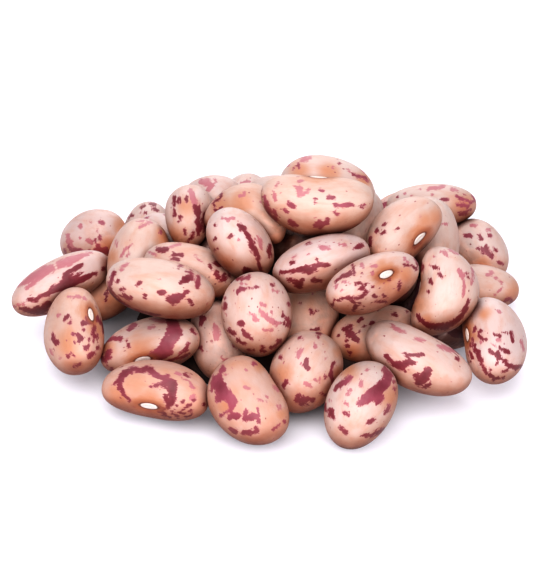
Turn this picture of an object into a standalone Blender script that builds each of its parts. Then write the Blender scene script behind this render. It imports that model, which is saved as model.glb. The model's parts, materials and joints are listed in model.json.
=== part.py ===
"""Heap of dried beans, lying loose on a flat surface.

About sixty plump, slightly kidney-shaped beans. The ones on the front of the heap are laid out as they
are seen: how far across and up the picture, how high over the floor, and how each one is turned. The ones
at the back and inside are laid out on the floor plan. All of them are then nudged apart until they only
touch, and fused to each other and to a low core mound in the middle of the heap.

The layout is worked out in millimetres. Meshes are in metres, +Z up, with the origin on the floor under
the middle of the heap and -Y towards the viewer.
"""

import math
from collections import namedtuple

import bmesh
import bpy
import numpy as np

# Driving dimensions, in millimetres
METRES = 0.001
BLUNTNESS = 0.88          # below 1 the ends of a bean are rounder than an ellipsoid's
BEND_BALANCE = 0.35       # keeps a bent bean centred on its own origin
SEAM_DENT = 0.35          # depth of the dent at the seam, as a share of the bend
SEAM_DENT_LENGTH = 0.38   # its length, as a share of half the bean
FLOOR_CLEARANCE = 0.05    # the beans' undersides over the core's flat base
FUSE_GROWTH = 0.4         # each fused bean is this much fatter, so that touching beans join
CORE_HEIGHT = 13.0
CORE_SKIRT = 2.0          # height of the core's upright wall at its foot
CORE_INSET = 7.0          # the core's foot runs this far inside the centres of the outer beans
CORE_FULLNESS = 1.3       # 1 makes a cone, more makes a fuller mound
CORE_WINDOW = math.radians(32)
CORE_BASE_RIM = 0.99      # vertices further out than this share of the foot lie on the floor
BEAN_SEGMENTS = 12
BEAN_RINGS = 8
CORE_SEGMENTS = 28
CORE_RINGS = 14

# The line of sight that the front beans were laid out from
SIGHT_ELEVATION = math.radians(30)
SIGHT_DISTANCE = 420.0
SIGHT_TARGET = np.array([0.0, -2.0, 8.0])

# Settling
SETTLE_STEPS = 60
SETTLE_SHARE = 0.35       # the part of an overlap that each bean gives way by in one step
SETTLE_TOUCH = 0.05       # overlaps smaller than this stay
SETTLE_STRIDE = 0.8       # the furthest that a bean moves in one step
SIGHT_SLACK = 0.5         # how far a seen bean may leave its line of sight
REACH = 15.0              # beans whose centres are further apart than this never touch

SEED = 11
LAID_SMALLEST = (6.1, 4.1, 3.6)   # half the length, width and depth of a bean that isn't seen
LAID_LARGEST = (7.0, 4.5, 3.9)
LAID_BEND = (0.6, 1.0)
BEAN_COLOUR = (0.62, 0.36, 0.27, 1.0)
BEAN_ROUGHNESS = 0.38

# A bean on the front of the heap. across and up are its place in the picture and level is the height of
# its centre. turn is its slope in the picture, lean how far its upper or right end comes forward, and
# roll where its seam faces: 0 up across the bean, 90 at the viewer.
Seen = namedtuple("Seen", "name across up level turn lean roll length width depth bend")

SEEN = [
    Seen("back_right_long", 22.9, 11.3, 9, 0, -10, -90, 13.0, 7.2, 6.2, 0.6),
    Seen("back_left_round", -24.3, 7.2, 5, 20, 58, -80, 12.0, 8.6, 8.0, 0.7),
    Seen("back_left_low", -16.8, 6.8, 5, 85, -35, -80, 12.0, 7.8, 7.2, 0.7),
    Seen("back_left_top", -8.9, 11.8, 14, 20, 50, -80, 11.4, 8.0, 7.4, 0.7),
    Seen("back_middle_low", -4.1, 12.1, 10, 60, -55, -80, 11.6, 7.8, 7.2, 0.7),
    Seen("back_middle", 0.4, 12.3, 15, 0, 45, -80, 11.8, 8.0, 7.2, 0.7),
    Seen("right_back", 29.1, 5.5, 4, 135, -45, -80, 11.2, 7.8, 7.2, 0.7),
    Seen("right_pale", 22.7, 6.9, 10, 100, -30, -80, 12.5, 8.4, 7.6, 0.7),
    Seen("right_low", 29.3, 0.2, 4, -5, 10, -90, 11.0, 7.6, 6.4, 0.6),
    Seen("top_right_pale", 11.6, 8.6, 14, 70, -20, -80, 11.6, 8.6, 7.6, 0.7),
    Seen("summit_rear", 8.3, 14.2, 21, -11, 0, 130, 13.2, 8.2, 7.0, 0.8),
    Seen("left_tucked", -22.3, 0.2, 5, 45, -20, -80, 12.4, 8.2, 7.4, 0.7),
    Seen("far_left", -28.9, 0.5, 8, 27, -15, -90, 15.2, 8.2, 6.7, 0.8),
    Seen("left_pale", -18.0, 4.4, 12, 70, -35, -80, 12.4, 8.6, 8.2, 0.7),
    Seen("left_banded", -10.8, 10.4, 15, 88, -55, -90, 10.8, 7.6, 6.6, 0.7),
    Seen("orange_arch", -3.6, 10.2, 18.5, -12, 30, 175, 12.2, 7.4, 7.0, 2.3),
    Seen("banded_oval", -3.8, 6.7, 17, 130, 30, -100, 11.4, 8.0, 7.6, 0.7),
    Seen("summit_front", 7.0, 11.7, 22, -3, 0, 10, 15.3, 8.5, 8.0, 1.2),
    Seen("right_eyed", 18.8, 7.5, 16, 42, -25, 130, 12.2, 8.0, 7.6, 1.2),
    Seen("middle_long", 7.5, 3.4, 17, 18, -5, -100, 13.7, 8.8, 7.1, 0.8),
    Seen("middle_eyed", 14.0, 1.2, 16, 22, -38, 85, 15.0, 8.8, 7.2, 0.9),
    Seen("left_crescent", -11.5, 2.5, 12, -14, 0, -90, 13.2, 8.4, 7.0, 0.8),
    Seen("left_big", -15.1, 0.6, 13, -13, 5, -90, 15.0, 9.2, 7.8, 0.9),
    Seen("right_big", 24.8, -0.7, 11, 78, -20, -12, 12.6, 8.8, 8.2, 1.9),
    Seen("shaded", 6.2, -3.8, 5, 80, -40, -90, 12.5, 8.6, 8.0, 0.7),
    Seen("low_speckled", 14.8, -5.8, 5, 15, -10, -80, 12.2, 8.2, 7.6, 0.7),
    Seen("pale_shaded", -7.3, -7.0, 5, 100, -40, -90, 12.4, 8.6, 7.6, 0.7),
    Seen("middle_round", -1.3, -3.1, 12, 95, -40, -90, 12.0, 9.8, 9.4, 0.7),
    Seen("left_swirled", -16.6, -7.6, 6, 13, 25, 115, 14.6, 8.6, 7.2, 0.9),
    Seen("left_upright", -27.6, -5.6, 5, 95, -45, 128, 14.2, 8.8, 7.8, 0.8),
    Seen("right_upright", 31.1, -7.1, 4, 98, -45, 30, 14.2, 8.8, 8.2, 0.8),
    Seen("right_long", 20.3, -9.7, 6, -28, 15, -60, 15.6, 9.0, 7.4, 1.2),
    Seen("front_middle", 5.0, -11.5, 5.5, 60, -42, -90, 12.4, 9.6, 9.4, 0.7),
    Seen("front_right", 13.0, -16.1, 4.5, 62, -40, -100, 13.4, 9.4, 9.0, 0.8),
    Seen("front_left", -2.8, -16.0, 4.5, 120, -35, -150, 13.5, 9.6, 9.0, 1.0),
    Seen("front_eyed", -15.8, -14.4, 4, -8, 15, 126, 14.8, 8.4, 7.6, 1.0),
]

# A bean inside the heap or on its back, by its place on the floor plan.
Laid = namedtuple("Laid", "x y level heading pitch")

LAID = [
    Laid(-12, 1.5, 4, 100, 0),
    Laid(-3, 1.5, 4, 60, 0),
    Laid(2, 11, 4, 0, 0),
    Laid(13, 3, 4, 20, 0),
    Laid(-9, 12, 4, 150, 0),
    Laid(14, 13, 4, 100, 0),
    Laid(23, 4, 4, 80, 0),
    Laid(24, -5, 4, 30, 0),
    Laid(-4, 4, 11, 30, 0),
    Laid(6, 2, 12, 120, 0),
    Laid(15, -3, 10, 60, 0),
    Laid(-12, 9, 9, 120, 0),
    Laid(10, 9, 10, 60, 0),
    Laid(-9, 24, 4, 110, 0),
    Laid(3, 27, 4, 15, 0),
    Laid(12, 27, 4, 80, 0),
    Laid(21, 25, 4, 10, 0),
    Laid(23, 15, 4, 70, 0),
    Laid(4, 18, 4, 170, 0),
    Laid(8, 20, 10, 85, -25),
]


def unit(vector):
    return vector / np.linalg.norm(vector)


SIGHT_BACK = np.array([0.0, -math.cos(SIGHT_ELEVATION), math.sin(SIGHT_ELEVATION)])
SIGHT_RIGHT = np.array([1.0, 0.0, 0.0])
SIGHT_UP = np.cross(SIGHT_BACK, SIGHT_RIGHT)
SIGHT_EYE = SIGHT_TARGET + SIGHT_DISTANCE * SIGHT_BACK


def sight_ray(across, up):
    """Direction in which the eye sees a place of the picture, which lies in the plane of the target."""
    return unit(across * SIGHT_RIGHT + up * SIGHT_UP - SIGHT_DISTANCE * SIGHT_BACK)


def seen_pose(row):
    """Centre, and axes as columns: along the bean, out of its seam, and across both."""
    ray = sight_ray(row.across, row.up)
    centre = SIGHT_EYE + ray * (row.level - SIGHT_EYE[2]) / ray[2]
    turn, lean, roll = np.radians([row.turn, row.lean, row.roll])
    right = unit(SIGHT_RIGHT - ray * (SIGHT_RIGHT @ ray))
    up = np.cross(right, ray)
    along = math.cos(lean) * (math.cos(turn) * right + math.sin(turn) * up) - math.sin(lean) * ray
    side = unit(np.cross(along, ray))
    seam = math.cos(roll) * side + math.sin(roll) * np.cross(along, side)
    return centre, np.column_stack([along, seam, np.cross(along, seam)])


def laid_pose(row, roll):
    """Centre and axes of a bean placed on the floor plan."""
    heading, pitch = np.radians([row.heading, row.pitch])
    level_along = np.array([math.cos(heading), math.sin(heading), 0.0])
    along = math.cos(pitch) * level_along + math.sin(pitch) * np.array([0.0, 0.0, 1.0])
    side = unit(np.cross([0.0, 0.0, 1.0], along))
    seam = math.cos(roll) * side + math.sin(roll) * np.cross(along, side)
    centre = np.array([row.x, row.y, row.level], float)
    return centre, np.column_stack([along, seam, np.cross(along, seam)])


class Bean:
    """One bean: half its length, width and depth, its bend, and where it lies."""

    def __init__(self, name, halves, bend, centre, axes, ray=None):
        self.name = name
        self.halves = np.array(halves, float)
        self.bend = bend
        self.centre = centre
        self.axes = axes
        self.ray = ray
        self.skin = surface(sphere_directions(), self.halves, bend) @ axes.T


def sphere_directions():
    """Unit vectors to the vertices of a bean's mesh, with its poles at the bean's two ends."""
    latitude = np.pi * np.arange(BEAN_RINGS + 1) / BEAN_RINGS
    longitude = 2 * np.pi * np.arange(BEAN_SEGMENTS) / BEAN_SEGMENTS
    lat, lon = np.meshgrid(latitude, longitude, indexing="ij")
    return np.column_stack([np.cos(lat).ravel(),
                            (np.sin(lat) * np.cos(lon)).ravel(),
                            (np.sin(lat) * np.sin(lon)).ravel()])


def surface(directions, halves, bend):
    """Points of a bean's skin in its own axes, one for each direction from its middle."""
    along = np.clip(directions[:, 0], -1, 1)
    girth = np.sqrt(np.maximum(1 - along ** 2, 1e-12))
    toward_seam = directions[:, 1] / girth
    sideways = directions[:, 2] / girth
    radius = np.maximum(1 - along ** 2, 0) ** (BLUNTNESS / 2)
    dent = SEAM_DENT * bend * np.clip(toward_seam, 0, 1) ** 2 * np.exp(-(along / SEAM_DENT_LENGTH) ** 2)
    middle_line = bend * (along ** 2 - BEND_BALANCE)
    return np.column_stack([halves[0] * along,
                            (halves[1] * toward_seam - dent) * radius + middle_line,
                            halves[2] * radius * sideways])


def depth_inside(points, bean):
    """How deep each point is in a bean, negative outside, and the way out from there."""
    local = (points - bean.centre) @ bean.axes
    along = np.clip(local[:, 0] / bean.halves[0], -1, 1)
    radius = (1 - along ** 2) ** (BLUNTNESS / 2)
    toward_seam = local[:, 1] - bean.bend * (along ** 2 - BEND_BALANCE)
    reach = np.hypot(toward_seam / bean.halves[1], local[:, 2] / bean.halves[2])
    outward = np.column_stack([local[:, 0], toward_seam, local[:, 2]]) / bean.halves ** 2
    outward /= np.linalg.norm(outward, axis=1, keepdims=True) + 1e-9
    squareness = np.maximum(np.hypot(outward[:, 1], outward[:, 2]), 0.25)
    depth = np.where(np.abs(local[:, 0]) < bean.halves[0], (radius - reach) * bean.halves[2], -1.0)
    return depth * squareness, outward @ bean.axes.T


def lay_out():
    """Every bean at its first place."""
    random = np.random.default_rng(SEED)
    beans = []
    for row in SEEN:
        centre, axes = seen_pose(row)
        halves = (row.length / 2, row.width / 2, row.depth / 2)
        beans.append(Bean(row.name, halves, row.bend, centre, axes, sight_ray(row.across, row.up)))
    for number, row in enumerate(LAID):
        halves = random.uniform(LAID_SMALLEST, LAID_LARGEST)
        roll = random.uniform(0, 2 * np.pi)
        centre, axes = laid_pose(row, roll)
        bend = random.uniform(*LAID_BEND)
        beans.append(Bean(f"laid_{number}", halves, bend, centre, axes))
    return beans


def settle(beans):
    """Nudge overlapping beans apart. A seen bean keeps to its line of sight."""
    for _ in range(SETTLE_STEPS):
        moves = np.zeros((len(beans), 3))
        centres = np.array([bean.centre for bean in beans])
        apart = np.linalg.norm(centres[:, None] - centres[None], axis=2)
        for first, second in np.argwhere((apart > 0) & (apart < REACH)):
            points = beans[first].skin + beans[first].centre
            depth, outward = depth_inside(points, beans[second])
            deepest = int(np.argmax(depth))
            if depth[deepest] > SETTLE_TOUCH:
                push = outward[deepest] * depth[deepest] * SETTLE_SHARE
                moves[first] += push
                moves[second] -= push
        for bean, move in zip(beans, moves):
            bean.centre = bean.centre + move * min(1.0, SETTLE_STRIDE / (np.linalg.norm(move) + 1e-9))
            keep_in_sight(bean)
            lowest = (bean.skin[:, 2] + bean.centre[2]).min()
            bean.centre[2] += max(0.0, FLOOR_CLEARANCE - lowest)


def keep_in_sight(bean):
    """Bring a seen bean back to within the slack of its line of sight."""
    if bean.ray is None:
        return
    from_eye = bean.centre - SIGHT_EYE
    on_line = bean.ray * (from_eye @ bean.ray)
    aside = from_eye - on_line
    stray = np.linalg.norm(aside)
    if stray > SIGHT_SLACK:
        bean.centre = SIGHT_EYE + on_line + aside * SIGHT_SLACK / stray


def bean_object(bean, collection):
    """A bean as a sphere whose vertices are moved onto its skin."""
    mesh = bmesh.new()
    bmesh.ops.create_uvsphere(mesh, u_segments=BEAN_SEGMENTS, v_segments=BEAN_RINGS, radius=1.0)
    halves = bean.halves + FUSE_GROWTH / 2
    for vertex in mesh.verts:
        direction = np.array([[vertex.co.z, vertex.co.x, vertex.co.y]])
        local = surface(direction, halves, bean.bend)[0]
        place = bean.centre + bean.axes @ local
        place[2] = max(place[2], FLOOR_CLEARANCE)
        vertex.co = place * METRES
    return link_mesh(mesh, bean.name, collection)


def foot_radius(angle, beans):
    """The core's reach in one direction: just inside the centres of the beans that lie that way."""
    reach = 0.0
    for bean in beans:
        away = (math.atan2(bean.centre[1], bean.centre[0]) - angle + math.pi) % (2 * math.pi) - math.pi
        if abs(away) < CORE_WINDOW:
            reach = max(reach, math.hypot(bean.centre[0], bean.centre[1]) * math.cos(away))
    return reach - CORE_INSET


def core_object(beans):
    """The mound inside the heap, with a flat base on the floor."""
    mesh = bmesh.new()
    bmesh.ops.create_uvsphere(mesh, u_segments=CORE_SEGMENTS, v_segments=CORE_RINGS, radius=1.0)
    cut = bmesh.ops.bisect_plane(mesh, geom=mesh.verts[:] + mesh.edges[:] + mesh.faces[:], dist=1e-6,
                                 plane_co=(0, 0, 0), plane_no=(0, 0, 1), clear_inner=True)
    rim = [item for item in cut["geom_cut"] if isinstance(item, bmesh.types.BMEdge)]
    bmesh.ops.contextual_create(mesh, geom=rim)
    for vertex in mesh.verts:
        angle = math.atan2(vertex.co.y, vertex.co.x)
        share = min(1.0, math.hypot(vertex.co.x, vertex.co.y))
        dome = CORE_SKIRT + (CORE_HEIGHT - CORE_SKIRT) * (1 - share ** CORE_FULLNESS)
        height = dome if share < CORE_BASE_RIM else 0.0
        radius = foot_radius(angle, beans) * share
        vertex.co = (radius * math.cos(angle) * METRES, radius * math.sin(angle) * METRES, height * METRES)
    return link_mesh(mesh, "bean_heap", bpy.context.scene.collection)


def link_mesh(mesh, name, collection):
    """A mesh as a new object, its faces pointing out."""
    bmesh.ops.recalc_face_normals(mesh, faces=mesh.faces)
    data = bpy.data.meshes.new(name)
    mesh.to_mesh(data)
    mesh.free()
    thing = bpy.data.objects.new(name, data)
    collection.objects.link(thing)
    return thing


def fuse(core, collection):
    """Join the collection's objects to the core, then remove them."""
    union = core.modifiers.new("beans", "BOOLEAN")
    union.operation = "UNION"
    union.operand_type = "COLLECTION"
    union.collection = collection
    union.solver = "EXACT"
    evaluated = core.evaluated_get(bpy.context.evaluated_depsgraph_get())
    fused = bpy.data.meshes.new_from_object(evaluated)
    core.modifiers.clear()
    core.data = fused
    for thing in list(collection.objects):
        bpy.data.objects.remove(thing)
    bpy.data.collections.remove(collection)


def keep_outer_body(thing):
    """Drop loose scraps and the walls of sealed hollows, and keep the body with the widest span."""
    mesh = bmesh.new()
    mesh.from_mesh(thing.data)
    bodies = []
    waiting = set(mesh.faces)
    while waiting:
        body = set()
        edge_of_body = {waiting.pop()}
        while edge_of_body:
            face = edge_of_body.pop()
            body.add(face)
            neighbours = {other for edge in face.edges for other in edge.link_faces}
            edge_of_body |= neighbours & waiting
            waiting -= neighbours
        bodies.append(body)

    def span(body):
        across = [vertex.co.x for face in body for vertex in face.verts]
        return max(across) - min(across)

    widest = max(bodies, key=span)
    scraps = [face for body in bodies if body is not widest for face in body]
    bmesh.ops.delete(mesh, geom=scraps, context="FACES")
    bmesh.ops.triangulate(mesh, faces=mesh.faces)
    mesh.to_mesh(thing.data)
    mesh.free()


def bean_skin():
    """Pinkish tan, satin skin."""
    material = bpy.data.materials.new("bean_skin")
    material.use_nodes = True
    shader = material.node_tree.nodes["Principled BSDF"]
    shader.inputs["Base Color"].default_value = BEAN_COLOUR
    shader.inputs["Roughness"].default_value = BEAN_ROUGHNESS
    shader.inputs["Metallic"].default_value = 0.0
    return material


def main():
    for thing in list(bpy.data.objects):
        bpy.data.objects.remove(thing)
    beans = lay_out()
    settle(beans)
    heap = core_object(beans)
    shell = bpy.data.collections.new("beans_to_fuse")
    bpy.context.scene.collection.children.link(shell)
    for bean in beans:
        bean_object(bean, shell)
    fuse(heap, shell)
    keep_outer_body(heap)
    heap.data.materials.clear()
    heap.data.materials.append(bean_skin())
    heap.data.shade_smooth()
    home = bpy.data.collections.new("bean_heap")
    bpy.context.scene.collection.children.link(home)
    bpy.context.scene.collection.objects.unlink(heap)
    home.objects.link(heap)


main()
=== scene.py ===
"""Heap of dried beans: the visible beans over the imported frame.

Each bean lies where it lies in the frame: the layout below is the same one, in millimetres, settled in the
same way. Its skin is finer here, it has its pale seam scar, and its marks are laid on it. Marks on the
front of the heap are placed as they are seen, and the marks everywhere else are drawn at random. Meshes
are in metres, +Z up, with the viewer at -Y.
"""

import json
import math
from collections import namedtuple

import bpy
import numpy as np
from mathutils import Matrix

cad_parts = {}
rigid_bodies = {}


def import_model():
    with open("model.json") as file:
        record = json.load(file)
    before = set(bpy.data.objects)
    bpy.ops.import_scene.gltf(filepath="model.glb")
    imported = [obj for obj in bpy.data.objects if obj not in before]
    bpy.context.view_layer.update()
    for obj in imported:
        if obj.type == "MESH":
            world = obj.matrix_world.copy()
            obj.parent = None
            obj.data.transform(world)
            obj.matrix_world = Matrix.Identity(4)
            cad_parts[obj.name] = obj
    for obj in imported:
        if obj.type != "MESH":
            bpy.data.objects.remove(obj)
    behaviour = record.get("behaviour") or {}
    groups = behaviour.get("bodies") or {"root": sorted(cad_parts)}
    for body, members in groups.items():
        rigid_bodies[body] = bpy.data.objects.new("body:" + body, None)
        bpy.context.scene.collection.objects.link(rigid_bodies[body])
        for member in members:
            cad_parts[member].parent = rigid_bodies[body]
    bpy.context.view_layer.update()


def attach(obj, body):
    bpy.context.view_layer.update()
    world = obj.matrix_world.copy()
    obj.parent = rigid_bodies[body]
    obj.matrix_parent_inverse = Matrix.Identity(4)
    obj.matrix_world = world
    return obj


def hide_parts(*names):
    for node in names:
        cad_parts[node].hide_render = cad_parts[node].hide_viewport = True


# Layout, in millimetres, as in the frame
METRES = 0.001
BLUNTNESS = 0.88          # below 1 the ends of a bean are rounder than an ellipsoid's
BEND_BALANCE = 0.35       # keeps a bent bean centred on its own origin
SEAM_DENT = 0.35          # depth of the dent at the seam, as a share of the bend
SEAM_DENT_LENGTH = 0.38   # its length, as a share of half the bean
FLOOR_CLEARANCE = 0.05    # the beans' undersides over the core's flat base
CORE_HEIGHT = 8.0
CORE_SKIRT = 2.0          # height of the core's upright wall at its foot
CORE_INSET = 10.5         # the core's foot runs this far inside the centres of the outer beans
CORE_FULLNESS = 1.3       # 1 makes a cone, more makes a fuller mound
CORE_WINDOW = math.radians(32)
BEAN_SEGMENTS = 12
BEAN_RINGS = 8

# The line of sight that the front beans were laid out from
SIGHT_ELEVATION = math.radians(30)
SIGHT_DISTANCE = 420.0
SIGHT_TARGET = np.array([0.0, -2.0, 8.0])

# Settling
SETTLE_STEPS = 60
SETTLE_SHARE = 0.35       # the part of an overlap that each bean gives way by in one step
SETTLE_TOUCH = 0.05       # overlaps smaller than this stay
SETTLE_STRIDE = 0.8       # the furthest that a bean moves in one step
SIGHT_SLACK = 0.5         # how far a seen bean may leave its line of sight
REACH = 15.0              # beans whose centres are further apart than this never touch

SEED = 11
LAID_SMALLEST = (6.1, 4.1, 3.6)   # half the length, width and depth of a bean that isn't seen
LAID_LARGEST = (7.0, 4.5, 3.9)
LAID_BEND = (0.6, 1.0)

# A bean on the front of the heap. across and up are its place in the picture and level is the height of
# its centre. turn is its slope in the picture, lean how far its upper or right end comes forward, and
# roll where its seam faces: 0 up across the bean, 90 at the viewer.
Seen = namedtuple("Seen", "name across up level turn lean roll length width depth bend")

SEEN = [
    Seen("back_right_long", 22.9, 11.3, 9, 0, -10, -90, 13.0, 7.2, 6.2, 0.6),
    Seen("back_left_round", -24.3, 7.2, 5, 20, 58, -80, 12.0, 8.6, 8.0, 0.7),
    Seen("back_left_low", -16.8, 6.8, 5, 85, -35, -80, 12.0, 7.8, 7.2, 0.7),
    Seen("back_left_top", -8.9, 11.8, 14, 20, 50, -80, 11.4, 8.0, 7.4, 0.7),
    Seen("back_middle_low", -4.1, 12.1, 10, 60, -55, -80, 11.6, 7.8, 7.2, 0.7),
    Seen("back_middle", 0.4, 12.3, 15, 0, 45, -80, 11.8, 8.0, 7.2, 0.7),
    Seen("right_back", 29.1, 5.5, 4, 135, -45, -80, 11.2, 7.8, 7.2, 0.7),
    Seen("right_pale", 22.7, 6.9, 10, 100, -30, -80, 12.5, 8.4, 7.6, 0.7),
    Seen("right_low", 29.3, 0.2, 4, -5, 10, -90, 11.0, 7.6, 6.4, 0.6),
    Seen("top_right_pale", 11.6, 8.6, 14, 70, -20, -80, 11.6, 8.6, 7.6, 0.7),
    Seen("summit_rear", 8.3, 14.2, 21, -11, 0, 130, 13.2, 8.2, 7.0, 0.8),
    Seen("left_tucked", -22.3, 0.2, 5, 45, -20, -80, 12.4, 8.2, 7.4, 0.7),
    Seen("far_left", -28.9, 0.5, 8, 27, -15, -90, 15.2, 8.2, 6.7, 0.8),
    Seen("left_pale", -18.0, 4.4, 12, 70, -35, -80, 12.4, 8.6, 8.2, 0.7),
    Seen("left_banded", -10.8, 10.4, 15, 88, -55, -90, 10.8, 7.6, 6.6, 0.7),
    Seen("orange_arch", -3.6, 10.2, 18.5, -12, 30, 175, 12.2, 7.4, 7.0, 2.3),
    Seen("banded_oval", -3.8, 6.7, 17, 130, 30, -100, 11.4, 8.0, 7.6, 0.7),
    Seen("summit_front", 7.0, 11.7, 22, -3, 0, 10, 15.3, 8.5, 8.0, 1.2),
    Seen("right_eyed", 18.8, 7.5, 16, 42, -25, 130, 12.2, 8.0, 7.6, 1.2),
    Seen("middle_long", 7.5, 3.4, 17, 18, -5, -100, 13.7, 8.8, 7.1, 0.8),
    Seen("middle_eyed", 14.0, 1.2, 16, 22, -38, 85, 15.0, 8.8, 7.2, 0.9),
    Seen("left_crescent", -11.5, 2.5, 12, -14, 0, -90, 13.2, 8.4, 7.0, 0.8),
    Seen("left_big", -15.1, 0.6, 13, -13, 5, -90, 15.0, 9.2, 7.8, 0.9),
    Seen("right_big", 24.8, -0.7, 11, 78, -20, -12, 12.6, 8.8, 8.2, 1.9),
    Seen("shaded", 6.2, -3.8, 5, 80, -40, -90, 12.5, 8.6, 8.0, 0.7),
    Seen("low_speckled", 14.8, -5.8, 5, 15, -10, -80, 12.2, 8.2, 7.6, 0.7),
    Seen("pale_shaded", -7.3, -7.0, 5, 100, -40, -90, 12.4, 8.6, 7.6, 0.7),
    Seen("middle_round", -1.3, -3.1, 12, 95, -40, -90, 12.0, 9.8, 9.4, 0.7),
    Seen("left_swirled", -16.6, -7.6, 6, 13, 25, 115, 14.6, 8.6, 7.2, 0.9),
    Seen("left_upright", -27.6, -5.6, 5, 95, -45, 128, 14.2, 8.8, 7.8, 0.8),
    Seen("right_upright", 31.1, -7.1, 4, 98, -45, 30, 14.2, 8.8, 8.2, 0.8),
    Seen("right_long", 20.3, -9.7, 6, -28, 15, -60, 15.6, 9.0, 7.4, 1.2),
    Seen("front_middle", 5.0, -11.5, 5.5, 60, -42, -90, 12.4, 9.6, 9.4, 0.7),
    Seen("front_right", 13.0, -16.1, 4.5, 62, -40, -100, 13.4, 9.4, 9.0, 0.8),
    Seen("front_left", -2.8, -16.0, 4.5, 120, -35, -150, 13.5, 9.6, 9.0, 1.0),
    Seen("front_eyed", -15.8, -14.4, 4, -8, 15, 126, 14.8, 8.4, 7.6, 1.0),
]

# A bean inside the heap or on its back, by its place on the floor plan.
Laid = namedtuple("Laid", "x y level heading pitch")

LAID = [
    Laid(-12, 1.5, 4, 100, 0),
    Laid(-3, 1.5, 4, 60, 0),
    Laid(2, 11, 4, 0, 0),
    Laid(13, 3, 4, 20, 0),
    Laid(-9, 12, 4, 150, 0),
    Laid(14, 13, 4, 100, 0),
    Laid(23, 4, 4, 80, 0),
    Laid(24, -5, 4, 30, 0),
    Laid(-4, 4, 11, 30, 0),
    Laid(6, 2, 12, 120, 0),
    Laid(15, -3, 10, 60, 0),
    Laid(-12, 9, 9, 120, 0),
    Laid(10, 9, 10, 60, 0),
    Laid(-9, 24, 4, 110, 0),
    Laid(3, 27, 4, 15, 0),
    Laid(12, 27, 4, 80, 0),
    Laid(21, 25, 4, 10, 0),
    Laid(23, 15, 4, 70, 0),
    Laid(4, 18, 4, 170, 0),
    Laid(8, 20, 10, 85, -25),
]


def unit(vector):
    return vector / np.linalg.norm(vector)


SIGHT_BACK = np.array([0.0, -math.cos(SIGHT_ELEVATION), math.sin(SIGHT_ELEVATION)])
SIGHT_RIGHT = np.array([1.0, 0.0, 0.0])
SIGHT_UP = np.cross(SIGHT_BACK, SIGHT_RIGHT)
SIGHT_EYE = SIGHT_TARGET + SIGHT_DISTANCE * SIGHT_BACK


def sight_ray(across, up):
    """Direction in which the eye sees a place of the picture, which lies in the plane of the target."""
    return unit(across * SIGHT_RIGHT + up * SIGHT_UP - SIGHT_DISTANCE * SIGHT_BACK)


def seen_pose(row):
    """Centre, and axes as columns: along the bean, out of its seam, and across both."""
    ray = sight_ray(row.across, row.up)
    centre = SIGHT_EYE + ray * (row.level - SIGHT_EYE[2]) / ray[2]
    turn, lean, roll = np.radians([row.turn, row.lean, row.roll])
    right = unit(SIGHT_RIGHT - ray * (SIGHT_RIGHT @ ray))
    up = np.cross(right, ray)
    along = math.cos(lean) * (math.cos(turn) * right + math.sin(turn) * up) - math.sin(lean) * ray
    side = unit(np.cross(along, ray))
    seam = math.cos(roll) * side + math.sin(roll) * np.cross(along, side)
    return centre, np.column_stack([along, seam, np.cross(along, seam)])


def laid_pose(row, roll):
    """Centre and axes of a bean placed on the floor plan."""
    heading, pitch = np.radians([row.heading, row.pitch])
    level_along = np.array([math.cos(heading), math.sin(heading), 0.0])
    along = math.cos(pitch) * level_along + math.sin(pitch) * np.array([0.0, 0.0, 1.0])
    side = unit(np.cross([0.0, 0.0, 1.0], along))
    seam = math.cos(roll) * side + math.sin(roll) * np.cross(along, side)
    centre = np.array([row.x, row.y, row.level], float)
    return centre, np.column_stack([along, seam, np.cross(along, seam)])


class Bean:
    """One bean: half its length, width and depth, its bend, and where it lies."""

    def __init__(self, name, halves, bend, centre, axes, ray=None):
        self.name = name
        self.halves = np.array(halves, float)
        self.bend = bend
        self.centre = centre
        self.axes = axes
        self.ray = ray
        directions = sphere_directions(BEAN_SEGMENTS, BEAN_RINGS).reshape(-1, 3)
        self.skin = surface(directions, self.halves, bend) @ axes.T


def sphere_directions(segments, rings):
    """Unit vectors on a grid, rings along a bean by segments round it, with the poles at its ends."""
    latitude = np.pi * np.arange(rings + 1) / rings
    longitude = 2 * np.pi * np.arange(segments) / segments
    lat, lon = np.meshgrid(latitude, longitude, indexing="ij")
    return np.stack([np.cos(lat), np.sin(lat) * np.cos(lon), np.sin(lat) * np.sin(lon)], axis=-1)


def surface(directions, halves, bend):
    """Points of a bean's skin in its own axes, one for each direction from its middle."""
    along = np.clip(directions[:, 0], -1, 1)
    girth = np.sqrt(np.maximum(1 - along ** 2, 1e-12))
    toward_seam = directions[:, 1] / girth
    sideways = directions[:, 2] / girth
    radius = np.maximum(1 - along ** 2, 0) ** (BLUNTNESS / 2)
    dent = SEAM_DENT * bend * np.clip(toward_seam, 0, 1) ** 2 * np.exp(-(along / SEAM_DENT_LENGTH) ** 2)
    middle_line = bend * (along ** 2 - BEND_BALANCE)
    return np.column_stack([halves[0] * along,
                            (halves[1] * toward_seam - dent) * radius + middle_line,
                            halves[2] * radius * sideways])


def depth_inside(points, bean):
    """How deep each point is in a bean, negative outside, and the way out from there."""
    local = (points - bean.centre) @ bean.axes
    along = np.clip(local[:, 0] / bean.halves[0], -1, 1)
    radius = (1 - along ** 2) ** (BLUNTNESS / 2)
    toward_seam = local[:, 1] - bean.bend * (along ** 2 - BEND_BALANCE)
    reach = np.hypot(toward_seam / bean.halves[1], local[:, 2] / bean.halves[2])
    outward = np.column_stack([local[:, 0], toward_seam, local[:, 2]]) / bean.halves ** 2
    outward /= np.linalg.norm(outward, axis=1, keepdims=True) + 1e-9
    squareness = np.maximum(np.hypot(outward[:, 1], outward[:, 2]), 0.25)
    depth = np.where(np.abs(local[:, 0]) < bean.halves[0], (radius - reach) * bean.halves[2], -1.0)
    return depth * squareness, outward @ bean.axes.T


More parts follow.
